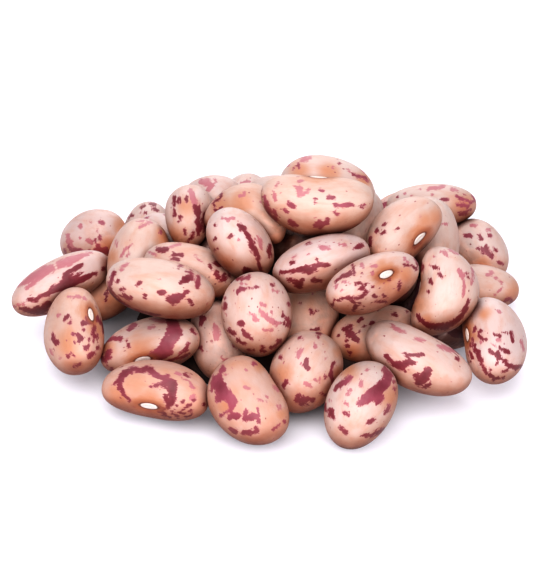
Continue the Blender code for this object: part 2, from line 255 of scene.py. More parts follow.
def lay_out():
    """Every bean at its first place."""
    random = np.random.default_rng(SEED)
    beans = []
    for row in SEEN:
        centre, axes = seen_pose(row)
        halves = (row.length / 2, row.width / 2, row.depth / 2)
        beans.append(Bean(row.name, halves, row.bend, centre, axes, sight_ray(row.across, row.up)))
    for number, row in enumerate(LAID):
        halves = random.uniform(LAID_SMALLEST, LAID_LARGEST)
        roll = random.uniform(0, 2 * np.pi)
        centre, axes = laid_pose(row, roll)
        bend = random.uniform(*LAID_BEND)
        beans.append(Bean(f"laid_{number}", halves, bend, centre, axes))
    return beans


def settle(beans):
    """Nudge overlapping beans apart. A seen bean keeps to its line of sight."""
    for _ in range(SETTLE_STEPS):
        moves = np.zeros((len(beans), 3))
        centres = np.array([bean.centre for bean in beans])
        apart = np.linalg.norm(centres[:, None] - centres[None], axis=2)
        for first, second in np.argwhere((apart > 0) & (apart < REACH)):
            points = beans[first].skin + beans[first].centre
            depth, outward = depth_inside(points, beans[second])
            deepest = int(np.argmax(depth))
            if depth[deepest] > SETTLE_TOUCH:
                push = outward[deepest] * depth[deepest] * SETTLE_SHARE
                moves[first] += push
                moves[second] -= push
        for bean, move in zip(beans, moves):
            bean.centre = bean.centre + move * min(1.0, SETTLE_STRIDE / (np.linalg.norm(move) + 1e-9))
            keep_in_sight(bean)
            lowest = (bean.skin[:, 2] + bean.centre[2]).min()
            bean.centre[2] += max(0.0, FLOOR_CLEARANCE - lowest)


def keep_in_sight(bean):
    """Bring a seen bean back to within the slack of its line of sight."""
    if bean.ray is None:
        return
    from_eye = bean.centre - SIGHT_EYE
    on_line = bean.ray * (from_eye @ bean.ray)
    aside = from_eye - on_line
    stray = np.linalg.norm(aside)
    if stray > SIGHT_SLACK:
        bean.centre = SIGHT_EYE + on_line + aside * SIGHT_SLACK / stray


def foot_radius(angle, beans):
    """The core's reach in one direction: just inside the centres of the beans that lie that way."""
    reach = 0.0
    for bean in beans:
        away = (math.atan2(bean.centre[1], bean.centre[0]) - angle + math.pi) % (2 * math.pi) - math.pi
        if abs(away) < CORE_WINDOW:
            reach = max(reach, math.hypot(bean.centre[0], bean.centre[1]) * math.cos(away))
    return reach - CORE_INSET


# The kinds of marks, with one piece of the scene for each
KINDS = ("blotched", "banded", "speckled", "streaked", "pale", "mottled")

# The kind of a bean's marks, how pink its skin is, how many fine dots it has, how tan it is, and how far
# its maroon marks turn to mauve
Look = namedtuple("Look", "kind pink dots warm mauve", defaults=[0.15])

LOOKS = {
    "back_right_long": Look("speckled", 0.5, 0.3, 0.1, 0.6),
    "back_left_round": Look("mottled", 0.9, 0.35, 0.2, 0.6),
    "back_left_low": Look("speckled", 0.5, 0.6, 0.1),
    "back_left_top": Look("pale", 0.7, 0.25, 0.1, 0.6),
    "back_middle_low": Look("pale", 0.6, 0.3, 0.1),
    "back_middle": Look("pale", 0.5, 0.2, 0.1),
    "right_back": Look("speckled", 0.5, 0.5, 0.1, 0.4),
    "right_pale": Look("pale", 0.4, 0.1, 0.2, 0.6),
    "right_low": Look("streaked", 0.4, 0.2, 0.3, 0.6),
    "top_right_pale": Look("pale", 0.4, 0.15, 0.1),
    "summit_rear": Look("mottled", 0.5, 0.3, 0.2, 0.5),
    "left_tucked": Look("pale", 0.3, 0.1, 0.8),
    "far_left": Look("banded", 0.9, 0.3, 0.2),
    "left_pale": Look("pale", 0.4, 0.15, 0.3, 0.5),
    "left_banded": Look("banded", 0.6, 0.3, 0.2),
    "orange_arch": Look("streaked", 0.3, 0.3, 0.45),
    "banded_oval": Look("banded", 0.7, 0.3, 0.1),
    "summit_front": Look("blotched", 0.2, 0.3, 0.3, 0.6),
    "right_eyed": Look("speckled", 0.4, 0.4, 0.3),
    "middle_long": Look("blotched", 0.9, 0.3, 0.1),
    "middle_eyed": Look("streaked", 0.7, 0.6, 0.3),
    "left_crescent": Look("streaked", 0.5, 0.2, 0.4),
    "left_big": Look("banded", 0.4, 0.4, 0.3, 0.35),
    "right_big": Look("banded", 0.4, 0.3, 0.05),
    "shaded": Look("mottled", 0.5, 0.2, 0.5),
    "low_speckled": Look("speckled", 0.5, 0.5, 0.5),
    "pale_shaded": Look("blotched", 0.7, 0.3, 0.2, 0.4),
    "middle_round": Look("blotched", 0.6, 0.5, 0.2, 0.4),
    "left_swirled": Look("banded", 0.6, 0.4, 0.3, 0.5),
    "left_upright": Look("speckled", 0.5, 0.4, 0.5, 0.35),
    "right_upright": Look("blotched", 0.8, 0.5, 0.0, 0.2),
    "right_long": Look("blotched", 0.6, 0.5, 0.2, 0.2),
    "front_middle": Look("blotched", 0.6, 0.4, 0.4, 0.4),
    "front_right": Look("banded", 0.6, 0.4, 0.15, 0.45),
    "front_left": Look("banded", 0.8, 0.4, 0.6, 0.6),
    "front_eyed": Look("banded", 0.8, 0.6, 0.6, 0.3),
}

# The marks seen on each bean of the front, in picture dots. A stroke is 1 for maroon or 0 for a faint mauve,
# then places along it, each with half the stroke's width there.
MARKS = {
    "far_left": (
        (0, (20, 289, 1), (32, 282, 3), (45, 274, 4.5), (53, 271, 4)),
        (0, (29, 291, 1), (38, 284, 2), (46, 277, 2.5)),
        (0, (62, 267, 3.5), (72, 264, 4.5), (82, 259, 3), (94, 255, 1)),
        (1, (56, 292, 3), (66, 288, 4.5), (72, 283, 6), (76, 283, 4.5)),
        (1, (68, 278, 3), (72, 274, 2), (80, 270, 2), (84, 268, 1)), (1, (74, 282, 3), (84, 276, 1.5)),
        (1, (72, 288, 3), (84, 282, 3), (98, 276, 1.5)),
        (1, (31, 302, 1), (38, 302, 2), (48, 297, 2), (57, 292, 3)), (1, (33, 298, 1)),
        (0, (15, 309, 1), (26, 307, 1)), (1, (106, 271, 2)),
        (1, (22, 311, 1), (34, 314, 3), (45, 312, 4.5), (50, 306, 3)),
    ),
    "left_upright": (
        (0, (66, 294, 1), (75, 293, 1), (84, 296, 1)), (0, (56, 313, 1), (58, 311, 1)),
        (1, (62, 317, 1), (66, 313, 1.6)), (1, (66, 320, 1.5), (69, 319, 1.2)),
        (1, (51, 331, 1), (51, 336, 2), (55, 340, 1.8)), (0, (48, 347, 1), (50, 351, 1.5)),
        (1, (71, 331, 1.6)), (1, (75, 332, 1.5), (79, 335, 2), (75, 339, 1.8)),
        (1, (81, 320, 2), (86, 320, 1)), (1, (82, 327, 1)), (1, (86, 314, 1.5), (88, 320, 2)),
        (1, (92, 325, 2), (91, 331, 1.5)), (1, (94, 333, 1.8)), (1, (91, 338, 1.2)), (1, (88, 336, 1.2)),
        (1, (84, 345, 2.5), (88, 342, 1)), (1, (96, 345, 1.5)), (1, (88, 353, 2.5), (93, 350, 2)),
        (1, (66, 353, 1.5), (68, 351, 1.2)), (1, (72, 352, 1.3)), (1, (72, 363, 1.2), (78, 361, 1.6)),
        (1, (95, 314, 1.2), (98, 320, 1.4)), (1, (101, 322, 1), (102, 329, 1)), (0, (58, 355, 1.2)),
    ),
    "back_left_round": (
        (0, (84, 226, 2)), (0, (94, 222, 1)), (1, (103, 222, 1), (107, 223, 1.2)), (0, (83, 238, 1.2)),
        (1, (101, 231, 0.9)), (1, (103, 236, 1.2), (103, 239, 1)), (0, (91, 240, 2), (95, 243, 1.5)),
        (1, (98, 241, 1), (104, 248, 1)), (1, (78, 251, 3), (86, 252, 3)), (1, (92, 251, 1.2)),
        (1, (98, 250, 1.2), (103, 251, 3), (110, 250, 3)), (0, (71, 235, 1.5), (73, 243, 3), (76, 250, 2)),
        (1, (68, 249, 1.2), (70, 257, 1)), (1, (72, 246, 1), (76, 252, 1.2)),
    ),
    "back_left_low": (
        (1, (144, 210, 1.5), (147, 208, 1)), (1, (152, 206, 1), (157, 207, 1.3)), (1, (144, 215, 0.9)),
        (1, (156, 211, 1.2), (160, 213, 1)), (1, (148, 215, 1.2)), (1, (134, 218, 1.2)), (1, (131, 220, 1)),
    ),
    "left_pale": (
        (0, (143, 227, 1.2), (151, 223, 2)), (0, (142, 221, 0.9), (155, 222, 1)),
        (0, (125, 256, 1.2), (128, 250, 1), (136, 244, 0.8)), (0, (130, 256, 0.8), (133, 252, 0.8)),
        (0, (120, 241, 1), (120, 246, 1)), (1, (164, 232, 1.5)),
    ),
    "left_crescent": (
        (1, (154, 250, 1.5), (160, 251, 2.5), (163, 250, 2)), (0, (165, 248, 1), (176, 245, 1.2)),
        (0, (146, 253, 1.2), (152, 256, 0.8)), (1, (169, 255, 1), (178, 256, 1.5)),
        (1, (167, 260, 1.2), (175, 261, 1.3)), (0, (192, 257, 0.8), (200, 265, 1)),
        (1, (211, 264, 1), (216, 267, 1)), (1, (212, 272, 1.8), (215, 279, 2)),
        (1, (206, 266, 1.2), (209, 271, 1)), (1, (221, 275, 1.5), (221, 281, 2), (217, 281, 1.5)),
        (1, (222, 265, 1), (225, 270, 1.2)), (1, (229, 283, 1)), (1, (226, 277, 0.9)),
    ),
    "left_big": (
        (1, (116, 268, 1), (111, 280, 1.5), (111, 288, 3), (114, 296, 5), (121, 303, 5), (131, 308, 4),
         (145, 311, 2.5), (160, 312, 1.5)),
        (0, (123, 266, 2), (125, 262, 1.5), (130, 260, 0.8)), (1, (119, 278, 1.6)),
        (1, (122, 286, 1.2), (125, 286, 1.4)), (1, (138, 282, 1), (142, 279, 1)),
        (1, (120, 292, 0.8), (125, 292, 1.8), (132, 295, 1.6)), (1, (146, 293, 1.8)),
        (1, (161, 289, 2.2), (165, 288, 1.8)),
        (1, (169, 295, 1.5), (175, 296, 5), (182, 293, 3.2), (189, 288, 1.2)),
        (1, (182, 280, 1.4), (187, 276, 3), (192, 274, 3), (192, 268, 1.3)), (1, (188, 268, 1)),
        (1, (200, 273, 1), (199, 283, 2.5)), (1, (191, 297, 1), (194, 301, 1.5)),
        (1, (181, 263, 1.8), (187, 258, 1.8)), (1, (206, 267, 0.9), (209, 273, 1)),
    ),
    "left_swirled": (
        (1, (170, 318, 3), (174, 323, 6), (175, 329, 7.5), (171, 336, 7), (167, 343, 6.5)),
        (0, (152, 316, 1.5), (164, 318, 2.5)),
        (1, (165, 345, 5), (157, 350, 3.5), (148, 355, 2.5), (138, 359, 1.5)),
        (1, (160, 355, 3.5), (166, 351, 3.5), (171, 349, 2.5)), (1, (129, 327, 1.4), (134, 322, 3)),
        (1, (107, 337, 1.5), (113, 335, 1.8), (121, 336, 2.4)), (1, (127, 337, 1), (130, 344, 1.5)),
        (0, (149, 324, 0.9), (154, 324, 1.2)), (1, (110, 348, 2.5), (108, 354, 3), (106, 358, 2)),
        (1, (101, 342, 1), (101, 350, 1.5), (104, 358, 1.5)), (1, (112, 366, 1.5)), (1, (108, 363, 1)),
        (1, (180, 352, 1.5), (187, 347, 1.5), (189, 341, 1)),
        (1, (163, 359, 1), (175, 356, 1), (190, 351, 1)), (1, (192, 326, 1), (196, 331, 0.8)),
    ),
    "front_eyed": (
        (1, (129, 401, 1.2), (124, 394, 1.5), (120, 389, 2), (120, 383, 2.5), (122, 376, 3),
         (128, 371, 2.5), (134, 369, 2.5), (141, 371, 2)),
        (1, (141, 371, 2), (148, 369, 3.2), (154, 373, 3), (160, 377, 2.5), (167, 379, 4), (172, 384, 5.5),
         (172, 391, 4), (173, 398, 3.5), (171, 403, 3)),
        (1, (113, 385, 1), (118, 381, 1.5)), (1, (150, 386, 1), (160, 385, 1.2), (167, 386, 2.5)),
        (1, (165, 396, 2), (168, 402, 2.5), (168, 408, 1.5)), (0, (192, 397, 3.2)), (1, (194, 400, 1.2)),
        (0, (190, 382, 1.2), (193, 388, 1.5)), (0, (176, 373, 0.9), (180, 374, 0.9)),
        (1, (185, 374, 1), (190, 377, 1)), (0, (182, 378, 1)), (1, (204, 404, 1.5)),
        (1, (160, 407, 2), (163, 412, 2.2), (166, 415, 1)), (1, (171, 412, 0.9), (178, 417, 0.9)),
        (1, (180, 412, 0.9), (190, 405, 0.9)), (1, (183, 414, 0.8), (191, 410, 0.8)), (1, (177, 406, 0.9)),
        (1, (182, 403, 0.9), (184, 400, 0.8)), (1, (153, 405, 1.4)), (1, (158, 411, 1.2)),
        (1, (186, 417, 0.8), (192, 415, 0.8)), (1, (170, 417, 0.8)), (1, (175, 409, 0.8)),
    ),
    "left_banded": (
        (0, (194, 190, 2), (196, 197, 3), (199, 203, 3)),
        (1, (200, 207, 3), (201, 213, 2.5), (201, 220, 2), (203, 226, 2.6), (202, 233, 2)),
        (1, (183, 199, 1.5), (182, 202, 1.8)), (1, (178, 197, 0.9), (178, 205, 1)),
        (1, (178, 210, 1), (178, 216, 1.2)), (1, (191, 197, 1), (190, 200, 1.5)),
        (1, (184, 217, 1.5), (183, 221, 1.2)), (1, (188, 231, 1), (188, 234, 1.2)),
        (1, (197, 232, 1), (195, 238, 1.6)), (1, (208, 213, 1), (206, 219, 1.5), (204, 226, 1.8)),
        (1, (210, 225, 1.2), (207, 232, 1)), (1, (175, 240, 1.2)), (1, (192, 241, 1.3)),
    ),
    "back_left_top": (
        (0, (199, 184, 2.5), (204, 185, 4), (209, 188, 3), (206, 192, 2.3)),
        (1, (178, 186, 1.2), (179, 184, 1)), (0, (213, 183, 2)),
    ),
    "back_middle_low": (
        (0, (239, 183, 2), (244, 182, 3)), (1, (253, 186, 0.9), (257, 187, 0.9)),
    ),
    "orange_arch": (
        (1, (210, 205, 1), (212, 211, 1.2)), (1, (212, 201, 1.2), (214, 200, 1)), (1, (217, 209, 1.5)),
        (1, (209, 198, 1)), (1, (219, 192, 0.8), (216, 199, 0.8)), (0, (236, 197, 1), (241, 194, 1.2)),
        (0, (256, 203, 0.9), (260, 204, 0.8)),
    ),
    "banded_oval": (
        (0, (223, 215, 1), (230, 216, 1.5), (236, 214, 0.9)), (1, (240, 222, 2), (244, 225, 3.2)),
        (1, (246, 228, 1.5), (251, 236, 2.5), (254, 244, 3), (258, 252, 2.3), (261, 262, 1.3),
         (262, 268, 1.3)),
        (0, (259, 233, 0.9), (261, 238, 2), (263, 245, 1.2)),
        (1, (271, 242, 1), (270, 247, 1.8), (271, 254, 1)), (1, (231, 234, 1.5), (233, 232, 1)),
        (0, (240, 236, 1.1)), (1, (215, 236, 1.4), (216, 234, 1)), (1, (217, 246, 1.2)), (1, (216, 222, 1)),
        (1, (245, 266, 1.5), (248, 268, 3.2), (251, 270, 1.8)),
    ),
    "middle_round": (
        (1, (241, 290, 1.5), (243, 287, 1.5), (250, 286, 1.2), (261, 285, 0.7)),
        (0, (244, 281, 0.9), (250, 282, 0.9)), (1, (240, 277, 1), (249, 276, 1.8), (252, 274, 1.2)),
        (1, (274, 282, 0.8), (276, 283, 0.9)), (0, (276, 288, 1.2), (281, 289, 1.5)), (1, (292, 302, 1.5)),
        (0, (264, 301, 1.2), (268, 304, 1.2)),
        (0, (263, 308, 1.8), (268, 313, 2.3), (273, 318, 2.3), (279, 321, 2), (284, 321, 1.2)),
        (0, (280, 325, 1.2), (280, 321, 1.5)), (0, (275, 310, 1.2)),
        (1, (286, 313, 1.2), (290, 317, 1.5), (293, 322, 1.4)), (1, (286, 321, 1.2), (292, 325, 1)),
        (0, (253, 311, 1), (257, 314, 2), (260, 317, 1.2), (256, 318, 0.9)), (1, (244, 321, 3.2)),
        (0, (266, 327, 1), (271, 329, 1.2), (275, 328, 0.9)), (1, (232, 328, 1.8), (236, 331, 2.3)),
        (1, (246, 329, 2), (250, 333, 2.3), (255, 336, 1)), (1, (228, 302, 1.8), (227, 306, 2.1)),
        (1, (228, 296, 0.9)), (1, (241, 338, 1.4), (248, 342, 1.2)), (1, (251, 347, 1), (256, 348, 1)),
        (1, (266, 345, 1.7)), (1, (273, 345, 0.9), (280, 343, 1.2)), (1, (282, 339, 2.3)),
        (1, (235, 345, 1.6)), (1, (264, 349, 1), (268, 349, 1)),
    ),
    "pale_shaded": (
        (0, (214, 325, 1.5), (216, 332, 4.2), (216, 338, 2.5)),
        (0, (222, 358, 1.2), (227, 362, 2.5), (232, 361, 1)), (1, (203, 318, 2.8), (200, 325, 1.2)),
        (1, (200, 348, 1.8), (202, 351, 1)), (1, (235, 346, 2.3)),
    ),
    "front_left": (
        (1, (224, 370, 2.5), (221, 376, 2), (219, 384, 5.5), (222, 391, 6), (228, 397, 5.5),
         (234, 403, 4.2), (233, 409, 2.6)),
        (1, (216, 380, 3), (215, 388, 3)), (1, (219, 401, 3.3)), (1, (212, 392, 1.5)),
        (1, (222, 417, 1.2), (228, 414, 1), (232, 411, 1.5)), (1, (232, 418, 3), (238, 417, 3.3)),
        (1, (247, 413, 2.4), (246, 420, 2.5), (252, 419, 3), (259, 417, 2.5)),
        (1, (259, 411, 1), (260, 424, 1.5)),
        (1, (258, 430, 2), (259, 433, 1.5), (250, 434, 2.4), (245, 434, 2.4)),
        (1, (232, 430, 1.5), (237, 433, 2.3)), (0, (246, 389, 1), (251, 390, 1.2)),
        (0, (260, 401, 1.2), (267, 403, 1.5)), (0, (269, 398, 1.5)), (0, (280, 408, 1.5), (281, 411, 1)),
        (0, (248, 371, 1)), (0, (234, 368, 0.9)), (0, (226, 376, 0.9), (229, 376, 0.9)),
        (1, (254, 365, 1), (257, 366, 1)), (1, (280, 427, 1), (275, 431, 1)), (1, (286, 423, 1.2)),
        (0, (275, 388, 0.9), (280, 392, 0.9)),
    ),
    "summit_rear": (
        (0, (302, 164, 1.5), (306, 162, 2.8), (311, 161, 1.5)), (0, (289, 167, 1.8)),
        (1, (299, 168, 1), (300, 171, 1)), (1, (295, 172, 1)), (0, (334, 170, 1)), (1, (340, 167, 0.9)),
        (0, (348, 172, 0.8), (350, 175, 0.8)), (0, (363, 173, 1), (365, 176, 1)),
        (1, (354, 178, 1), (360, 180, 1), (366, 181, 1.3), (369, 184, 1)),
    ),
    "summit_front": (
        (0, (296, 190, 1.5), (301, 192, 3), (302, 198, 2.8), (308, 196, 2.3)),
        (0, (300, 185, 0.9), (304, 184, 0.9)), (0, (311, 192, 0.9), (310, 197, 1)),
        (1, (322, 192, 1), (324, 194, 1)), (1, (331, 200, 2.3), (335, 200, 2.3)),
        (1, (317, 203, 2), (317, 206, 1)),
        (1, (337, 208, 2), (341, 209, 1), (346, 208, 1.8), (351, 208, 2.4), (355, 208, 1)),
        (1, (363, 210, 1.8), (367, 208, 1.2)), (1, (290, 206, 1.5), (293, 209, 2), (296, 211, 1.2)),
        (1, (286, 212, 1), (288, 215, 1.5)), (1, (336, 215, 1.2), (339, 218, 1.3)),
        (1, (291, 224, 1.5), (295, 227, 1.8), (299, 229, 1)),
        (1, (317, 229, 1.8), (321, 225, 2.3), (322, 230, 2.3)),
        (1, (324, 227, 1), (328, 225, 2.2), (329, 223, 1.5)), (0, (317, 221, 0.9)),
        (0, (275, 194, 1), (276, 198, 1.8), (277, 204, 1.6)),
        (1, (276, 213, 1.4), (277, 218, 1.6), (277, 223, 2.2)), (0, (278, 189, 1), (280, 186, 1)),
        (1, (266, 200, 1.4), (269, 210, 2.4), (272, 218, 2.4), (275, 226, 1.8)),
    ),
    "middle_long": (
        (0, (319, 247, 1), (323, 249, 2.4), (330, 250, 1.5)), (0, (340, 245, 1.2), (347, 247, 1.2)),
        (1, (356, 249, 1.8), (362, 247, 2.3)), (1, (307, 245, 1.2), (311, 244, 1)),
        (0, (293, 259, 0.9), (296, 257, 0.9)), (1, (292, 265, 1), (296, 264, 0.9)),
        (1, (281, 274, 1.4), (290, 273, 1.4), (300, 271, 2.3), (307, 271, 3.8), (315, 271, 2.4)),
        (1, (300, 270, 1.4), (312, 268, 1.4), (322, 266, 1.4), (330, 267, 1.2)),
        (1, (317, 261, 1.4), (320, 265, 1)), (1, (288, 281, 1.2), (297, 282, 1.5)),
        (1, (303, 280, 1.2), (300, 286, 3.3), (295, 285, 2)), (1, (313, 282, 1.5), (320, 281, 2)),
    ),
    "middle_eyed": (
        (1, (333, 279, 1), (340, 274, 1.8), (348, 270, 1.6)),
        (1, (350, 262, 1), (351, 267, 1.2), (352, 271, 1)), (0, (335, 282, 0.9), (333, 286, 1)),
        (0, (340, 279, 1), (346, 280, 1.2)), (0, (359, 262, 1), (361, 265, 1.2)),
        (0, (368, 263, 1.5), (373, 263, 2)), (0, (370, 270, 1.5)), (1, (359, 270, 0.9)),
        (0, (340, 287, 1.5)), (1, (356, 287, 1), (361, 286, 2.3), (364, 289, 1.2)),
        (1, (353, 281, 0.8), (358, 281, 0.8)), (1, (363, 282, 1)),
        (1, (338, 296, 0.9), (345, 295, 1), (355, 296, 1.4), (362, 292, 1.4), (366, 290, 1)),
        (1, (332, 297, 0.9), (336, 298, 0.9)), (1, (330, 302, 1.5)),
        (1, (350, 299, 1.2), (353, 303, 1.8), (351, 307, 1.4)), (1, (357, 301, 1), (361, 304, 0.9)),
        (1, (371, 293, 1), (374, 295, 1.2)), (1, (373, 299, 0.9), (383, 299, 0.9)),
        (1, (380, 293, 0.8), (385, 295, 0.8)), (1, (398, 280, 1), (396, 286, 1.4)),
        (1, (367, 281, 0.9), (370, 284, 1)), (1, (377, 274, 1), (381, 272, 1.5)),
        (1, (385, 275, 1), (387, 277, 0.9)), (0, (402, 256, 1), (406, 260, 1)),
        (1, (402, 263, 1), (410, 263, 1.4), (414, 266, 1.4)), (1, (413, 256, 1), (415, 262, 1)),
    ),
    "right_eyed": (
        (1, (394, 234, 1.5), (397, 232, 1.2)), (1, (379, 237, 0.9), (384, 235, 1.2)),
        (1, (375, 236, 0.9), (376, 233, 0.9)), (1, (383, 229, 0.9), (385, 227, 0.8)), (0, (420, 220, 0.9)),
        (1, (369, 241, 1.4), (369, 249, 1.5)), (1, (413, 250, 1.8), (417, 246, 1.8), (418, 242, 1)),
    ),
    "right_pale": (
        (0, (441, 227, 0.9), (445, 227, 0.9)),
    ),
    "top_right_pale": (
        (1, (372, 224, 0.8), (377, 227, 0.8)), (0, (382, 210, 1)), (0, (378, 219, 0.9)),
    ),
    "back_right_long": (
        (0, (428, 193, 1.2), (436, 191, 2), (443, 190, 1.4)), (0, (432, 198, 0.9)),
        (1, (441, 203, 1), (447, 203, 1.6)), (1, (444, 211, 1)), (1, (442, 214, 1), (446, 216, 0.9)),
        (0, (451, 192, 0.8), (457, 194, 0.8)), (1, (456, 200, 1), (462, 202, 1.4), (467, 204, 0.9)),
        (1, (457, 208, 1.4), (462, 208, 2.1), (468, 209, 1.2)),
        (1, (473, 198, 0.9), (474, 204, 1.2), (470, 206, 1)),
        (1, (459, 218, 1.4), (465, 216, 1.4), (469, 213, 1)), (0, (411, 199, 1.2)), (1, (397, 200, 0.9)),
        (0, (404, 197, 0.9)), (0, (420, 193, 0.9)), (1, (395, 209, 1.4)),
    ),
    "right_back": (
        (1, (462, 237, 1.8), (466, 236, 1.8), (469, 238, 1)), (1, (476, 237, 1.9), (478, 239, 1.8)),
        (1, (487, 237, 1.9)), (0, (468, 227, 0.9), (473, 226, 0.9)), (0, (484, 230, 1.2), (487, 231, 1.2)),
        (1, (475, 249, 1.4), (481, 251, 1.7)),
        (1, (483, 247, 1), (483, 252, 2.7), (487, 256, 2.3), (489, 259, 1)), (1, (480, 255, 1)),
        (1, (491, 249, 1), (493, 251, 1)), (1, (495, 263, 1.2), (500, 265, 1)),
    ),
    "right_low": (
        (0, (484, 274, 1.8), (488, 273, 2.2)),
        (0, (492, 278, 1), (497, 282, 1.2), (499, 287, 1.2), (495, 292, 0.9), (491, 295, 0.8)),
        (1, (502, 300, 1.2), (506, 299, 1.8), (509, 302, 1.4), (511, 305, 0.9)),
    ),
    "right_big": (
        (0, (444, 254, 1), (448, 255, 2), (450, 258, 1)),
        (0, (452, 252, 0.9), (457, 254, 1), (461, 256, 0.8)), (0, (437, 259, 1)),
        (1, (424, 266, 1.4), (425, 270, 1.4), (423, 274, 1)),
        (1, (434, 268, 0.9), (437, 270, 1.5), (441, 270, 0.9)), (1, (442, 277, 0.9), (445, 279, 1)),
        (1, (433, 282, 1.2), (434, 285, 1.2)), (1, (431, 294, 1)),
        (0, (462, 273, 2), (465, 277, 2), (466, 283, 1), (467, 289, 2), (467, 294, 1.6), (466, 299, 0.8)),
        (1, (470, 275, 0.8), (471, 280, 0.9)), (0, (475, 270, 0.9), (476, 277, 1.2), (475, 286, 0.9)),
        (1, (471, 303, 1.4), (468, 311, 2), (463, 319, 2.4), (456, 325, 2.8), (447, 329, 3.2),
         (437, 329, 2.8), (427, 325, 2.2), (420, 318, 1.4)),
    ),
    "low_speckled": (
        (1, (345, 326, 3), (349, 323, 2), (349, 330, 3.8), (352, 332, 2.4), (357, 337, 2.4)),
        (1, (346, 337, 1.5)), (1, (347, 342, 1.9)), (1, (338, 332, 1)), (1, (347, 348, 1), (350, 350, 1.4)),
        (1, (363, 323, 1), (365, 323, 1)), (1, (370, 321, 1), (372, 319, 1.8)), (1, (359, 328, 1)),
        (1, (395, 309, 1.2)), (1, (407, 308, 1)), (1, (392, 311, 0.8), (396, 312, 0.8)),
        (1, (391, 319, 0.9)), (1, (361, 315, 1.4), (358, 318, 1)), (1, (377, 307, 0.9)),
    ),
    "right_long": (
        (0, (389, 325, 0.9), (392, 328, 1.4), (397, 330, 1.2), (403, 331, 0.8)),
        (0, (411, 337, 0.9), (416, 339, 1.2), (421, 340, 0.9)),
        (0, (434, 344, 1.2), (440, 347, 2), (446, 349, 2.4), (451, 350, 1.4)),
        (1, (452, 350, 1), (454, 352, 1)), (1, (454, 358, 1.9)),
        (1, (400, 352, 0.9), (404, 355, 1.4), (412, 354, 1.4), (419, 353, 1)),
        (1, (383, 355, 2), (387, 360, 2), (392, 363, 3), (399, 365, 4.3), (404, 362, 3), (413, 362, 1)),
        (1, (402, 370, 1)),
        (1, (414, 375, 3), (416, 381, 4.3), (421, 376, 5.2), (424, 370, 3.8), (427, 369, 1.5)),
        (1, (410, 376, 1), (412, 376, 1.8)), (1, (426, 383, 1.4), (421, 386, 1.4)),
    ),
    "front_right": (
        (1, (385, 370, 3), (389, 376, 4.3), (385, 384, 5), (378, 391, 5.8), (371, 396, 5.8),
         (363, 401, 4.2), (359, 404, 2.8)),
        (1, (378, 401, 3), (381, 396, 3)),
        (1, (350, 377, 1.8), (347, 381, 2.3), (341, 385, 2.3), (335, 390, 1.4)),
        (0, (366, 370, 0.8), (370, 369, 0.8)), (0, (361, 380, 1.4), (361, 386, 1.8)),
        (0, (348, 390, 0.9), (352, 390, 0.8)), (0, (346, 395, 0.9), (349, 394, 0.9)),
        (0, (345, 403, 1.5), (348, 406, 1.2)), (1, (331, 411, 2.4), (332, 416, 2.3), (334, 419, 1)),
        (1, (324, 404, 0.9), (326, 411, 0.9)), (1, (343, 413, 1), (349, 416, 1)), (0, (330, 401, 0.8)),
        (0, (358, 411, 0.9)), (1, (366, 423, 1.4), (371, 421, 1.9), (375, 419, 1.2)),
        (1, (340, 427, 1), (343, 430, 1.4), (347, 433, 2.1)),
        (1, (361, 436, 0.9), (370, 436, 1.4), (377, 433, 2.1), (384, 429, 1.4)),
        (1, (385, 414, 1.2), (388, 410, 1.9), (389, 405, 1)), (1, (394, 382, 1.4)), (1, (395, 389, 1.4)),
        (1, (391, 378, 1)),
    ),
    "front_middle": (
        (0, (301, 349, 1.4), (298, 353, 2.6), (297, 357, 1.4)),
        (1, (305, 360, 1.8), (304, 366, 3), (307, 369, 1.4)), (0, (301, 365, 2)),
        (0, (313, 344, 1), (313, 347, 1.4), (315, 347, 1)), (1, (315, 333, 1), (319, 334, 1)),
        (1, (315, 336, 0.9), (317, 338, 0.9)), (1, (297, 338, 0.9), (301, 338, 0.9)), (1, (279, 358, 1.7)),
        (0, (324, 358, 1.2)),
        (1, (332, 364, 2.1), (330, 369, 1), (329, 375, 1.4), (331, 381, 1), (332, 386, 0.9)),
        (0, (314, 380, 0.9), (318, 383, 0.9)), (0, (318, 376, 1), (319, 379, 1)),
        (1, (323, 375, 1), (324, 378, 1.2)), (0, (305, 384, 1.8), (308, 386, 1.4), (311, 387, 0.9)),
        (1, (285, 381, 1.4), (283, 385, 1.9), (283, 388, 1)),
        (1, (297, 396, 2.4), (296, 401, 2.8), (303, 399, 2.4), (311, 400, 1.9)),
        (1, (299, 404, 0.9), (306, 405, 0.9)), (1, (321, 394, 1), (323, 395, 0.9)),
    ),
    "right_upright": (
        (1, (475, 330, 0.9), (480, 329, 0.9)), (1, (476, 334, 0.8), (480, 337, 1), (483, 338, 1)),
        (0, (478, 340, 0.9)), (0, (495, 338, 2.3)), (1, (492, 333, 0.9), (497, 334, 0.9)),
        (1, (499, 331, 0.9), (503, 331, 1.2)), (1, (508, 330, 1), (508, 336, 1.4), (510, 339, 1.7)),
        (0, (518, 339, 1), (519, 344, 0.9), (521, 350, 0.8)), (0, (494, 309, 0.8), (498, 311, 0.8)),
        (1, (475, 349, 1.8), (476, 354, 2.4), (478, 360, 1.5), (479, 365, 1.4), (482, 368, 1)),
        (1, (486, 348, 0.9), (490, 351, 1.7), (494, 352, 2.8), (496, 356, 2.3), (500, 358, 1.8),
         (503, 359, 1)),
        (1, (497, 346, 1), (501, 349, 1.4), (506, 351, 1.7)), (1, (494, 362, 1.2)),
        (0, (488, 341, 0.8), (493, 345, 0.9)),
        (1, (503, 363, 1.2), (508, 364, 2.4), (513, 366, 2.4), (518, 364, 1)),
        (1, (500, 370, 0.9), (504, 368, 1)),
        (1, (483, 371, 1.2), (487, 373, 1.8), (491, 377, 1.2), (500, 376, 0.8)), (1, (487, 368, 1)),
